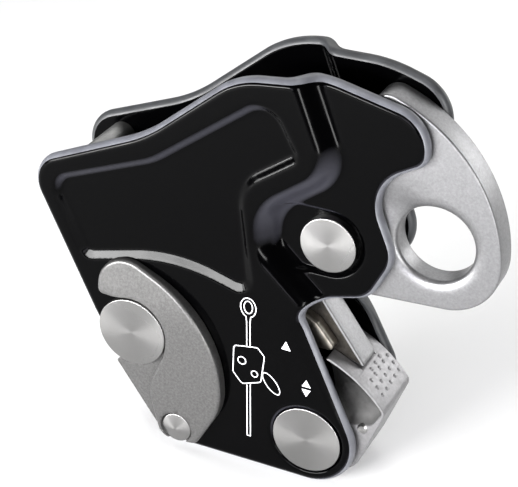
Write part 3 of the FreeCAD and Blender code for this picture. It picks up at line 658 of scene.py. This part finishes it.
ARM_BORE = 4.05
LEVER_PIN_BORE = 4.55
POST_BORE = 2.55
RIVET_BORE = 2.05
ANVIL_RIVETS = (-10.0, -28.0)
NOTCH_LONG = 40.0
SINK_LONG = 13.0
PLATE_ROUND = 1.9
INNER_ROUND = 0.5
REAR_INNER_ROUND = 1.5
REAR_OUTER_ROUND = 1.0
FACET_SLOPE = 0.44
FACET_WIDE = 1.5
FRONT_RIM_WIDE = 0.86
REAR_RIM_WIDE = 1.22
OUTER_BEND = (0.0, 2.9, 1.7)
INNER_BEND = (-1.4, 1.5, 1.5)
PANEL_WALL = (-0.6, 1.9, 0.35)
STEEP_WALL = (-0.2, 1.5, 0.7)
STEEP_UP = (-8.0, -2.0)
SINK_WALL = (0.0, 0.8, 0.3)
SEAT_WALL = (0.0, 0.1, 0.05)
SEAT_LIP = (-0.7, -0.05, 0.05)
SEAT_LIP_DEEP = 0.35
PANEL_RINGS = (-1.0, -0.6, -0.2, 0.3, 0.8, 1.3, 1.6, 1.9, 2.3)
SEAT_RINGS = (-0.75, -0.4, -0.05, 0.05, 0.15)
# Bands that get a fine mesh, in from an outline or round a circle.
EDGE_BAND = 0.8
BEND_BAND = (-3.2, 5.0)
PANEL_BAND = (-1.2, 2.6)
SINK_BAND = (-0.6, 1.4)
SEAT_BAND = 1.4
# The bevel on the right edge, from its lower end up.
BEVEL_LOW = -47.0
BEVEL_TALL = 26.0
BEVEL_START = (-50.0, -46.0)
BEVEL_STOP = (17.0, 21.0)
BEVEL_LEFT = 10
BEVEL_NARROW = 1.2
BEVEL_WIDE = 3.2
BEVEL_DEEP = 1.1
BEVEL_EASE = 0.6

FRONT = outline_of(scaled(FRONT_SHARES, PLATE_WIDE, PLATE_TALL))
REAR = outline_of(scaled(REAR_SHARES, PLATE_WIDE, PLATE_TALL))
BEND = outline_of(scaled(BEND_SHARES, PLATE_WIDE, PLATE_TALL))
PANEL = outline_of(scaled(PANEL_SHARES, PLATE_WIDE, PLATE_TALL))
NOTCH = capsule(STUD, NOTCH_WAY, NECK_SLOT, NOTCH_LONG)
SINK = capsule(ARM, (-1.0, 0.0), SINK_RADIUS, SINK_LONG)


def joggle(points, bend):
    """The rise of a plate's face across the bend, from 0 on the main face to 1 on the lobe."""
    return ramp(edge_distance(points, BEND), *bend)


def near_features(shapes, circles=()):
    """A test for the plan points that need a fine mesh."""
    def test(points, depth):
        chosen = depth < PLATE_ROUND + EDGE_BAND
        for shape, (low, high) in shapes:
            gap = edge_distance(points, shape)
            chosen |= (gap > low) & (gap < high)
        for centre, radius in circles:
            chosen |= np.abs(reach(points, centre) - radius) < SEAT_BAND
        return chosen
    return test


def front_plate():
    """The front plate, pressed in round the arm, with its sunk panel and the axle heads' seats."""
    holes = [NOTCH, ring_points(ARM, ARM_BORE, BORE_STEP), ring_points(LEVER, LEVER_PIN_BORE, BORE_STEP),
             ring_points(LATCH, RIVET_BORE, RING_STEP)]

    def front(points):
        gap = gap_to(points, FRONT)
        bend = joggle(points, OUTER_BEND)
        level = np.full(len(points), -MAIN_OUTER)
        level += JOGGLE_STEP * bend
        steep = smooth(points[:, 1], *STEEP_UP)
        panel = edge_distance(points, PANEL)
        level += PANEL_DEEP * ((1 - steep) * ramp(panel, *PANEL_WALL) + steep * ramp(panel, *STEEP_WALL))
        level += SINK_DEEP * ramp(edge_distance(points, SINK), *SINK_WALL) * bend ** 3
        seat = LEVER_SEAT - reach(points, LEVER)
        level += HEAD_DEEP * ramp(seat, *SEAT_WALL) + SEAT_LIP_DEEP * ramp(seat, *SEAT_LIP)
        along = np.clip((points[:, 1] - BEVEL_LOW) / BEVEL_TALL, 0, 1)
        strip = BEVEL_NARROW + (BEVEL_WIDE - BEVEL_NARROW) * along
        wanted = smooth(points[:, 1], *BEVEL_START) * smooth(-points[:, 1], *BEVEL_STOP)
        wanted *= points[:, 0] > BEVEL_LEFT
        level += wanted * BEVEL_DEEP * np.clip(1 - gap / strip, 0, 1)
        notch = np.maximum(-edge_distance(points, NOTCH), 0)
        edge = np.maximum(rounding(gap, PLATE_ROUND), FACET_SLOPE * np.clip(FACET_WIDE - gap, 0, None))
        return level + np.maximum(edge * (1 - BEVEL_EASE * wanted), rounding(notch, INNER_ROUND))

    def back(points):
        gap = gap_to(points, FRONT, [NOTCH])
        level = -MAIN_INNER + JOGGLE_STEP * joggle(points, INNER_BEND)
        return level - rounding(gap, INNER_ROUND)

    near = near_features([(BEND, BEND_BAND), (PANEL, PANEL_BAND), (SINK, SINK_BAND)], [(LEVER, LEVER_SEAT)])
    rings = [inset_ring(PANEL, gap) for gap in PANEL_RINGS]
    rings += [ring_points(LEVER, LEVER_SEAT - gap, RING_STEP) for gap in SEAT_RINGS]
    piece = relief("front_side_plate", FRONT, front, back, holes, rings, near, PLATE_ROUND)
    dress(piece, BLACK, "frame", "black_plate", "front_plate")
    paint_rim_sheen(piece, FRONT, FRONT_RIM_WIDE, RIM_SHEEN)


def rear_plate():
    """The rear plate, joggled the other way."""
    holes = [ring_points(ARM, ARM_BORE, BORE_STEP), ring_points(LEVER, LEVER_PIN_BORE, BORE_STEP)]
    holes += [ring_points(place, POST_BORE, RING_STEP) for place in (STUD, POST)]
    holes += [ring_points((ANVIL_MIDDLE, up), RIVET_BORE, RING_STEP) for up in ANVIL_RIVETS]

    def front(points):
        gap = gap_to(points, REAR)
        return MAIN_INNER - JOGGLE_STEP * joggle(points, INNER_BEND) + rounding(gap, REAR_INNER_ROUND)

    def back(points):
        gap = gap_to(points, REAR)
        return MAIN_OUTER - JOGGLE_STEP * joggle(points, OUTER_BEND) - rounding(gap, REAR_OUTER_ROUND)

    near = near_features([(BEND, BEND_BAND)])
    piece = relief("rear_side_plate", REAR, front, back, holes, near=near, edge=PLATE_ROUND)
    dress(piece, BLACK, "frame", "black_plate", "rear_plate")
    paint_rim_sheen(piece, REAR, REAR_RIM_WIDE, REAR_RIM_SHEEN)


front_plate()
rear_plate()

# The swinging arm.

ARM_ROUND = 0.45
ARM_BAND = 1.4
CAM_RIVET_BORE = 1.8
DISH_WIDE = 2.9
DISH_DEEP = 1.5
DISH_POWER = 2.4
EYE_RINGS = (0.6, 0.9, 1.3, 1.8, 2.4, 3.0)
HOLLOW = (39.6, 10.0)
HOLLOW_WIDE = 4.4
HOLLOW_DEEP = 1.2
TAIL_FROM = -13.5
FLANK_LEAN = 0.8


def arm():
    """The bead-blasted arm, with a dished rim round the connector's eye, and painted shade on the flat faces of
    its tail.
    """
    head = scaled(ARM_HEAD_SHARES, ARM_REACH, ARM_REACH, ARM)
    polygon = outline_of(head + scaled(ARM_TAIL_SHARES, GRIP, GRIP, ARM))
    holes = [ring_points(EYE, EYE_RADIUS, ARC_STEP), ring_points(ARM, HUB_RADIUS, RING_STEP),
             ring_points(CAM_RIVET, CAM_RIVET_BORE, SMALL_STEP)]

    def drop(points):
        rim = reach(points, EYE) - EYE_RADIUS
        dish = np.clip(1 - rim / DISH_WIDE, 0, 1)
        hollow = np.exp(-(reach(points, HOLLOW) / HOLLOW_WIDE) ** 2)
        dished = DISH_DEEP * (1 - np.sqrt(1 - dish ** DISH_POWER))
        return rounding(gap_to(points, polygon), ARM_ROUND) + dished + HOLLOW_DEEP * hollow

    rings = [ring_points(EYE, EYE_RADIUS + gap, RING_STEP) for gap in EYE_RINGS]
    piece = relief("swing_arm", polygon, lambda p: drop(p) - ARM_HALF, lambda p: ARM_HALF - drop(p),
                   holes, rings, lambda p, depth: depth < ARM_BAND)
    dress(piece, ARM_ALLOY, "arm", "arm_alloy", "arm")
    middle = face_middles(piece)
    inward = edge_distance(middle[:, [0, 2]], polygon) > ARM_ROUND
    # Painted shade: the flat faces of the tail, below TAIL_FROM, take the dark brown material.
    second_finish(piece, TAIL_SHADE, (face_leans(piece) > FLANK_LEAN) & inward & (middle[:, 2] < TAIL_FROM))


arm()

# The latch.

LATCH_GAP = 0.1
LATCH_THICK = 3.0
LATCH_ROUND = 0.75
LATCH_INNER_ROUND = 0.3
LATCH_BACK_ROUND = 0.2
LATCH_BAND = 1.2
INNER_WIDE = 2.4
INNER_FADE = 1.6
BITE_SOFT = 2.2
BITE_ROUNDS = 12
CROWN_FROM = -27.0
CROWN_RUN = 6.0
CROWN_SLOPE = 0.10
RIVET_SEAT = 4.1
RIVET_SEAT_DEEP = 0.9
RIVET_SEAT_RINGS = (3.95, 4.05, 4.15)
LIP_CLEAR = 0.3
LIP_THICK = 1.2
LIP_ROUND = 0.25
LIP_EDGE = 0.4


def open_stretch(polygon, centre, radius):
    """The outline's points outside a circle, and the angles where they end and begin."""
    covered = reach(polygon, centre) < radius
    first = next(i for i in range(len(polygon)) if covered[i - 1] and not covered[i])
    kept = np.roll(polygon, -first, axis=0)[~np.roll(covered, -first)]
    return kept, math.atan2(*(kept[-1] - centre)[::-1]), math.atan2(*(kept[0] - centre)[::-1])


def arc_points(centre, radius, begin, turn):
    """Points along an arc, short of both its ends."""
    angles = begin + np.linspace(*ARC_ENDS, int(radius * abs(turn) / ARC_STEP)) * turn
    return np.stack([centre[0] + radius * np.cos(angles), centre[1] + radius * np.sin(angles)], 1)


def bitten(polygon, centre, radius):
    """The outline with a round bite taken out of it, and the bite's corners softened."""
    kept, begin, finish = open_stretch(polygon, centre, radius)
    turn = (finish - begin) % (2 * math.pi)
    arcs = [arc_points(centre, radius, begin, way) for way in (turn, turn - 2 * math.pi)]
    arc = max(arcs, key=lambda points: (edge_distance(points, polygon) > 0).mean())
    result = np.concatenate([kept, arc])
    ends = np.stack([kept[-1], kept[0]])
    near = np.min([reach(result, end) for end in ends], axis=0) < BITE_SOFT
    for _ in range(BITE_ROUNDS):
        mean = (np.roll(result, 1, axis=0) + np.roll(result, -1, axis=0)) / 2
        result = np.where(near[:, None], mean, result)
    return result


def latch():
    """The crescent latch and the thin lip under the stud's head."""
    whole = outline_of(scaled(LATCH_SHARES, LATCH_REACH, LATCH_REACH, LATCH))
    crescent = bitten(whole, STUD, STUD_HEAD + LATCH_GAP)
    bore = ring_points(LATCH, RIVET_BORE, SMALL_STEP)
    under = -MAIN_OUTER - LATCH_GAP

    def face(points):
        inner = smooth(STUD_HEAD + INNER_WIDE - reach(points, STUD), 0.0, INNER_FADE)
        gap = gap_to(points, crescent)
        level = under - LATCH_THICK + rounding(gap, LATCH_ROUND) * (1 - inner)
        level += rounding(gap, LATCH_INNER_ROUND) * inner
        rise = np.clip(points[:, 1] - CROWN_FROM, 0, None)
        level += CROWN_SLOPE * np.where(rise < CROWN_RUN, rise * rise / (2 * CROWN_RUN), rise - CROWN_RUN / 2)
        return level + RIVET_SEAT_DEEP * ramp(RIVET_SEAT - reach(points, LATCH), *SEAT_WALL)

    def base(points):
        return np.full(len(points), under) - rounding(gap_to(points, crescent), LATCH_BACK_ROUND)

    rings = [ring_points(LATCH, radius, SMALL_STEP) for radius in RIVET_SEAT_RINGS]
    body = relief("latch_body", crescent, face, base, [bore], rings, lambda p, depth: depth < LATCH_BAND)
    lip_reach = LATCH_REACH - NECK_RADIUS - LIP_CLEAR
    lip = outline_of(scaled(LIP_SHARES, lip_reach, lip_reach, LATCH))
    thin = relief("latch_lip", lip, lambda p: under - LIP_THICK + rounding(gap_to(p, lip), LIP_ROUND),
                  lambda p: np.full(len(p), under), [bore], edge=LIP_EDGE)
    dress(joined("crescent_latch", [body, thin]), LATCH_STEEL, "latch", "latch_steel", "latch")


latch()

# Turned pins, as corners of (radius, y, the corner's own rounding) from the front to the back.

PINS = (
    ("arm_pin", ARM, "arm_axle", (
        (0, -7.4, 0), (6.55, -7.4, 0.3), (6.55, -5.1, 0), (4.0, -5.1, 0), (4.0, 7.2, 0), (4.9, 7.2, 0),
        (4.9, 8.4, 0.4), (0, 8.4, 0))),
    ("lever_pin", LEVER, "lever_axle", (
        (0, -10.9, 0), (8.45, -10.9, 0.3), (8.45, -9.5, 0), (4.5, -9.5, 0), (4.5, 11.7, 0), (5.4, 11.7, 0),
        (5.4, 12.9, 0.4), (0, 12.9, 0))),
    ("stud", STUD, "lock_stud", (
        (0, -14.2, 0), (STUD_HEAD, -14.2, 0.3), (STUD_HEAD, -12.5, 0.2), (NECK_RADIUS, -12.5, 0),
        (NECK_RADIUS, 8.3, 0), (2.5, 8.3, 0), (2.5, 10.9, 0), (3.4, 10.9, 0), (3.4, 12.1, 0.4), (0, 12.1, 0))),
    ("latch_pin", LATCH, "latch_rivet", (
        (0, -14.2, 0), (0.5, -14.15, 0.25), (3.75, -13.5, 0.2), (3.85, -13.1, 0), (2.0, -13.1, 0),
        (2.0, -8.3, 0), (2.9, -8.3, 0), (2.9, -7.4, 0), (0, -7.4, 0))),
)
for name, place, node, corners in PINS:
    dress(lathe(name, rounded(corners), place), TURNED, "frame", "turned_steel", node)

# Cast lever, cam and anvil. A row of dots is (start round the drum, first place across, count).

SCOOP_DEEP = 2.5
SCOOP_FALL = 1.1
SCOOP_RINGS = (-0.05, 0.1, 0.3, 0.6)
SCOOP_BAND = -0.5
SCOOP_LEAN = 0.12
SCOOP_SUNK = 0.3
SCOOP_EDGE = -0.05
LEVER_ROUND = 0.25
LEVER_EDGE = 0.45
LEVER_HOLE_EDGE = 0.2
SLOT_GAP = 0.5
SLOT_HALF = 3.8
SLOT_TALL = 8.0
SLOT_LONG = 30.0
BUMP_ROWS = ((1.0, 4.0, 3), (2.3, 6.4, 5), (4.4, 6.3, 5), (6.5, 6.2, 5))
BUMP_SIDE = 2.6
BUMP_SKEW = 0.12
BUMP_RADIUS = 0.56
BUMP_RISE = 0.32
BUMP_ROOT = 0.08
BUMP_LIFTS = 5
BUMP_COUNT = 16


def with_boss(polygon, centre, radius):
    """The outline joined with a round boss that covers a stretch of it."""
    kept, begin, finish = open_stretch(polygon, centre, radius)
    turn = (begin - finish) % (2 * math.pi)
    return np.concatenate([kept, arc_points(centre, radius, begin, -turn)])


def prism(name, corners, half):
    """A straight block between two levels of Y, over an outline."""
    work = bmesh.new()
    near = [work.verts.new((x * MM, -half * MM, z * MM)) for x, z in corners]
    far = [work.verts.new((x * MM, half * MM, z * MM)) for x, z in corners]
    work.faces.new(near)
    work.faces.new(far[::-1])
    for index in range(len(corners)):
        following = (index + 1) % len(corners)
        work.faces.new((near[index], near[following], far[following], far[index]))
    bmesh.ops.recalc_face_normals(work, faces=work.faces)
    return add_piece(name, mesh_from(work, name))


def cut(piece, tool):
    """Take the tool's volume out of the piece."""
    step = piece.modifiers.new("cut", "BOOLEAN")
    step.operation = "DIFFERENCE"
    step.solver = "EXACT"
    step.object = tool
    view = bpy.context.evaluated_depsgraph_get()
    mesh = bpy.data.meshes.new_from_object(piece.evaluated_get(view))
    piece.modifiers.clear()
    piece.data = mesh
    bpy.data.objects.remove(tool)
    mesh.set_sharp_from_angle(angle=CAST_CREASE)


def lever():
    """The thumb lever: a broad pad with a hollow in each side, on a boss, slotted for the arm's tail."""
    leg = outline_of(scaled(LEVER_SHARES, LEVER_REACH, LEVER_REACH, LEVER), SMALL_STEP)
    polygon = with_boss(leg, LEVER, LEVER_BOSS)
    scoop = outline_of(scaled(SCOOP_SHARES, LEVER_REACH, LEVER_REACH, LEVER), SMALL_STEP)

    def sunk(points):
        gap = edge_distance(points, scoop)
        hollow = SCOOP_DEEP * (1 - np.exp(-np.maximum(gap, 0) / SCOOP_FALL))
        return hollow + rounding(gap_to(points, polygon), LEVER_ROUND)

    rings = [inset_ring(scoop, gap) for gap in SCOOP_RINGS]
    piece = relief("thumb_lever", polygon, lambda p: sunk(p) - LEVER_HALF, lambda p: LEVER_HALF - sunk(p),
                   [ring_points(LEVER, LEVER_BORE, RING_STEP)], rings,
                   lambda p, depth: edge_distance(p, scoop) > SCOOP_BAND, LEVER_EDGE, LEVER_HOLE_EDGE)
    notch, tip = scaled(ARM_TAIL_SHARES[:2], GRIP, GRIP, ARM)
    slope = (tip[0] - notch[0]) / (tip[1] - notch[1])
    floor = tip[1] - SLOT_GAP
    low = tip[0] + SLOT_GAP * math.hypot(1, slope) - SLOT_GAP * slope
    top = floor + SLOT_TALL
    slot = [(low, floor), (low + SLOT_TALL * slope, top), (low - SLOT_LONG, top), (low - SLOT_LONG, floor)]
    cut(piece, prism("slot_tool", slot, SLOT_HALF))
    dress(piece, CAST_STEEL, "lever", "cast_steel", "lever")
    # Painted shade: the faces down in each side's hollow take the dark material.
    middle = face_middles(piece)
    sunken = LEVER_HALF - np.abs(middle[:, 1]) > SCOOP_SUNK
    inside = edge_distance(middle[:, [0, 2]], scoop) > SCOOP_EDGE
    second_finish(piece, SCOOP_SHADE, (face_leans(piece) > SCOOP_LEAN) & sunken & inside)


def pad_bumps():
    """The raised dots on the lever's pad, in staggered rows round the drum."""
    corners = scaled(LEVER_SHARES[:3], LEVER_REACH, LEVER_REACH, LEVER)
    before, corner, after = [Vector((x, z)) for x, z, _ in corners]
    radius = corners[1][2]
    back = (before - corner).normalized()
    ahead = (after - corner).normalized()
    centre = corner + (back + ahead).normalized() * (radius / math.sin(back.angle(ahead) / 2))
    facing = math.atan2(corner.y - centre.y, corner.x - centre.x)
    angles = np.arange(BUMP_COUNT) * 2 * math.pi / BUMP_COUNT
    work = bmesh.new()
    for start, side, count in BUMP_ROWS:
        for place in range(count):
            angle = facing - (start + place * BUMP_SKEW) / radius
            out = Vector((math.cos(angle), 0, math.sin(angle)))
            along = Vector((-out.z, 0, out.x))
            across = Vector((0, 1, 0))
            spot = Vector((centre.x, 0, centre.y)) + out * radius + across * (side - place * BUMP_SIDE)
            ways = [along * math.cos(angle) + across * math.sin(angle) for angle in angles]
            rows = []
            for lift in range(BUMP_LIFTS):
                tilt = math.pi / 2 * lift / BUMP_LIFTS
                wide = BUMP_RADIUS * math.cos(tilt)
                rise = BUMP_RISE * math.sin(tilt) - BUMP_ROOT
                rows.append([work.verts.new((spot + out * rise + way * wide) * MM) for way in ways])
            top = work.verts.new((spot + out * (BUMP_RISE - BUMP_ROOT)) * MM)
            for first, second in zip(rows, rows[1:]):
                for i in range(BUMP_COUNT):
                    following = (i + 1) % BUMP_COUNT
                    work.faces.new((first[i], first[following], second[following], second[i]))
            for i in range(BUMP_COUNT):
                work.faces.new((rows[-1][i], rows[-1][(i + 1) % BUMP_COUNT], top))
            work.faces.new(rows[0][::-1])
    bmesh.ops.recalc_face_normals(work, faces=work.faces)
    mesh = mesh_from(work, "pad_bumps")
    mesh.shade_smooth()
    mesh.set_sharp_from_angle(angle=BUMP_CREASE)
    dress(add_piece("pad_bumps", mesh), CAST_STEEL, "lever", "cast_steel")


lever()
pad_bumps()
dress(softened("rope_cam", "cam_shoe", 0.25), GROUND, "arm", "cam_steel", "cam_shoe")
dress(softened("grooved_anvil", "rope_anvil", 0.3), GROUND, "frame", "cam_steel", "rope_anvil")
dress(softened("corner_post", "top_post", 0.2), GREY_ALLOY, "frame", "grey_alloy", "top_post")

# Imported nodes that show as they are, with a finish.
FINISHES = {
    "arm_axle_washer": TURNED, "lever_axle_washer": TURNED, "anvil_rivets": TURNED, "cam_rivet": TURNED,
    "detent_plunger": TURNED, "arm_bush": BRONZE, "lever_bush": BRONZE, "lever_shims": BRONZE,
}
for node, material in FINISHES.items():
    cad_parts[node].data.materials.clear()
    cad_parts[node].data.materials.append(material)

# Printed marks on the front plate. An arrow is (x, z, half its width, its height, whether it points up).

INK = 0.04
INK_LEVEL = -MAIN_OUTER + 0.01
LINE_WIDE = 0.23
ROPE_MIDDLE = 7.3
ROPE_HALF = 0.42
ROPE_TOPS = (-28.6, -22.2, -28.8)
ROPE_ENDS = (-39.3, -53.6, -39.0)
LOOP_UP = -18.4
LOOP_HALVES = (1.9, 2.5)
LOOP_TURNS = (-0.40 * math.pi, 1.40 * math.pi)
THIMBLE = (ROPE_MIDDLE, -18.3, 1.05, 1.6, 20)
BOX = ((3.6, -29.4), (9.6, -28.4), (11.3, -30.4), (10.4, -37.6), (5.6, -39.4), (3.3, -36.6))
BOX_ROUND = 0.9
BOX_PINS = ((5.6, -33.0, 1.0, 1.0, 16), (8.8, -35.8, 0.8, 0.8, 16))
RING = (0, 0, 3.1, 1.35)
RING_TILT = math.radians(-52)
RING_AT = (13.0, -37.2)
ARROWS = ((16.6, -25.8, 1.15, 2.3, True), (21.7, -34.5, 1.1, 1.9, True), (21.7, -37.1, 1.1, 1.9, False))


def flat_marks(name, outlines):
    """Thin printed shapes on the front plate's main face."""
    work = bmesh.new()
    for outline in outlines:
        corners = [work.verts.new((x * MM, INK_LEVEL * MM, z * MM)) for x, z in outline]
        work.faces.new(corners)
    bmesh.ops.remove_doubles(work, verts=work.verts, dist=WELD * MM)
    bmesh.ops.recalc_face_normals(work, faces=work.faces)
    grown = bmesh.ops.extrude_face_region(work, geom=list(work.faces))
    moved = [item for item in grown["geom"] if isinstance(item, bmesh.types.BMVert)]
    bmesh.ops.translate(work, verts=moved, vec=(0, -INK * MM, 0))
    bmesh.ops.recalc_face_normals(work, faces=work.faces)
    dress(add_piece(name, mesh_from(work, name)), WHITE, "frame", "black_plate")


def triangle(x, z, half, tall, up):
    """A small arrow mark about its middle."""
    way = 1 if up else -1
    return [(x - half, z - way * tall / 2), (x + half, z - way * tall / 2), (x, z + way * tall / 2)]


def ribbon(points, closed=False):
    """A drawn line of even width, as a run of four-sided pieces."""
    path = np.array(points, float)
    before = path - np.roll(path, 1, axis=0)
    after = np.roll(path, -1, axis=0) - path
    if not closed:
        before[0] = after[0]
        after[-1] = before[-1]
    before /= np.linalg.norm(before, axis=1)[:, None]
    after /= np.linalg.norm(after, axis=1)[:, None]
    side = np.stack([-(before + after)[:, 1], (before + after)[:, 0]], 1)
    across = np.stack([-before[:, 1], before[:, 0]], 1)
    side *= (LINE_WIDE / np.sum(side * across, axis=1))[:, None] / 2
    count = len(path) if closed else len(path) - 1
    pieces = []
    for index in range(count):
        following = (index + 1) % len(path)
        pieces.append([path[index] + side[index], path[following] + side[following],
                       path[following] - side[following], path[index] - side[index]])
    return pieces


def oval(x, z, wide, tall, count=24):
    """The points of an oval about its middle."""
    angles = np.arange(count) * 2 * math.pi / count
    return np.stack([x + wide * np.cos(angles), z + tall * np.sin(angles)], 1)


def pictogram():
    """A plain drawing of a rope with a loop on top that runs through a box with two pins and a ring."""
    left, right = ROPE_MIDDLE - ROPE_HALF, ROPE_MIDDLE + ROPE_HALF
    wide, tall = LOOP_HALVES
    angles = np.linspace(*LOOP_TURNS, 24)
    loop = [(ROPE_MIDDLE + wide * math.cos(a), LOOP_UP + tall * math.sin(a)) for a in angles]
    first, neck, last = ROPE_TOPS
    lines = ribbon([(right, first), (right, neck)] + loop + [(left, neck), (left, last)])
    lines += ribbon(oval(*THIMBLE), True)
    lines += ribbon(outline_of([(x, z, BOX_ROUND) for x, z in BOX], RING_STEP), True)
    for pin_mark in BOX_PINS:
        lines += ribbon(oval(*pin_mark), True)
    cosine, sine = math.cos(RING_TILT), math.sin(RING_TILT)
    lines += ribbon(oval(*RING) @ np.array([(cosine, sine), (-sine, cosine)]) + np.array(RING_AT), True)
    first, end, last = ROPE_ENDS
    return lines + ribbon([(left, first), (left, end), (right, end), (right, last)])


flat_marks("rope_drawing", pictogram())
flat_marks("lever_marks", [triangle(*arrow) for arrow in ARROWS])

# Floor, light and camera. A light is (name, place, aim, width, height, watts, roll in degrees, colour).

FLOOR_HALF = 2500.0
FLOOR_LEVEL = -62.0
CAMERA_PLACE = (141.2, -279.2, 172.4)
CAMERA_AIM = (9.94, -10.9, -1.23)
CAMERA_LENS = 111.2
SENSOR_WIDE = 36
CLIP_NEAR = 10.0
WORLD_STRENGTH = 0.08
ORIGIN = (0, 0, 0)
LIGHTS = (
    ("back", (-40, 560, 400), ORIGIN, 1300, 400, 3.3),
    ("top", (20, -20, 640), ORIGIN, 500, 500, 1.3),
    ("key", (-291, -576, 98), (-15, -10, -13), 440, 76, 10.5, 8.0),
    ("front_fill", (60, -620, 90), ORIGIN, 220, 200, 1.3, 0.0, (0.93, 0.91, 1.0)),
    ("left_strip", (-446, -400, 30), ORIGIN, 130, 90, 1.5),
    ("right_strip", (375, -330, 60), ORIGIN, 60, 240, 1.8),
    ("back_right", (380, 480, 130), (20, 0, 0), 320, 260, 1.5),
)


def build_floor():
    """A plain pale floor."""
    mesh = bpy.data.meshes.new("floor")
    half, level = FLOOR_HALF * MM, FLOOR_LEVEL * MM
    corners = [(-half, -half, level), (half, -half, level), (half, half, level), (-half, half, level)]
    mesh.from_pydata(corners, [], [(0, 1, 2, 3)])
    floor = add_piece("floor", mesh)
    material, tree, shader = new_material("floor", (0.9, 0.9, 0.9), 0.9, specular=0.1)
    tint(tree, add_noise(tree, 3, 2), shader, (0.895, 0.895, 0.895), (0.905, 0.905, 0.905))
    mesh.materials.append(material)


def area_light(name, place, aim, wide, tall, power, roll=0.0, colour=(1, 1, 1)):
    """A soft light, placed and aimed in millimetres."""
    data = bpy.data.lights.new(name, "AREA")
    data.shape = "RECTANGLE"
    data.size = wide * MM
    data.size_y = tall * MM
    data.energy = power
    data.color = colour
    light = add_piece(name, data)
    light.location = Vector(place) * MM
    aimed = (Vector(aim) - Vector(place)).to_track_quat("-Z", "Y").to_matrix()
    light.rotation_euler = (aimed @ Matrix.Rotation(math.radians(roll), 3, "Z")).to_euler()
    light.visible_camera = False


def build_camera():
    """The camera at the photograph's place."""
    data = bpy.data.cameras.new("camera")
    data.lens = CAMERA_LENS
    data.sensor_width = SENSOR_WIDE
    data.clip_start = CLIP_NEAR * MM
    camera = add_piece("camera", data)
    camera.location = Vector(CAMERA_PLACE) * MM
    aim = Vector(CAMERA_AIM) * MM
    camera.rotation_euler = (aim - camera.location).to_track_quat("-Z", "Y").to_euler()
    bpy.context.scene.camera = camera


build_floor()
build_camera()
for light in LIGHTS:
    area_light(*light)

world = bpy.data.worlds.new("studio")
world.use_nodes = True
world.node_tree.nodes["Background"].inputs["Color"].default_value = (1, 1, 1, 1)
world.node_tree.nodes["Background"].inputs["Strength"].default_value = WORLD_STRENGTH
bpy.context.scene.world = world
bpy.context.scene.view_settings.view_transform = "Standard"
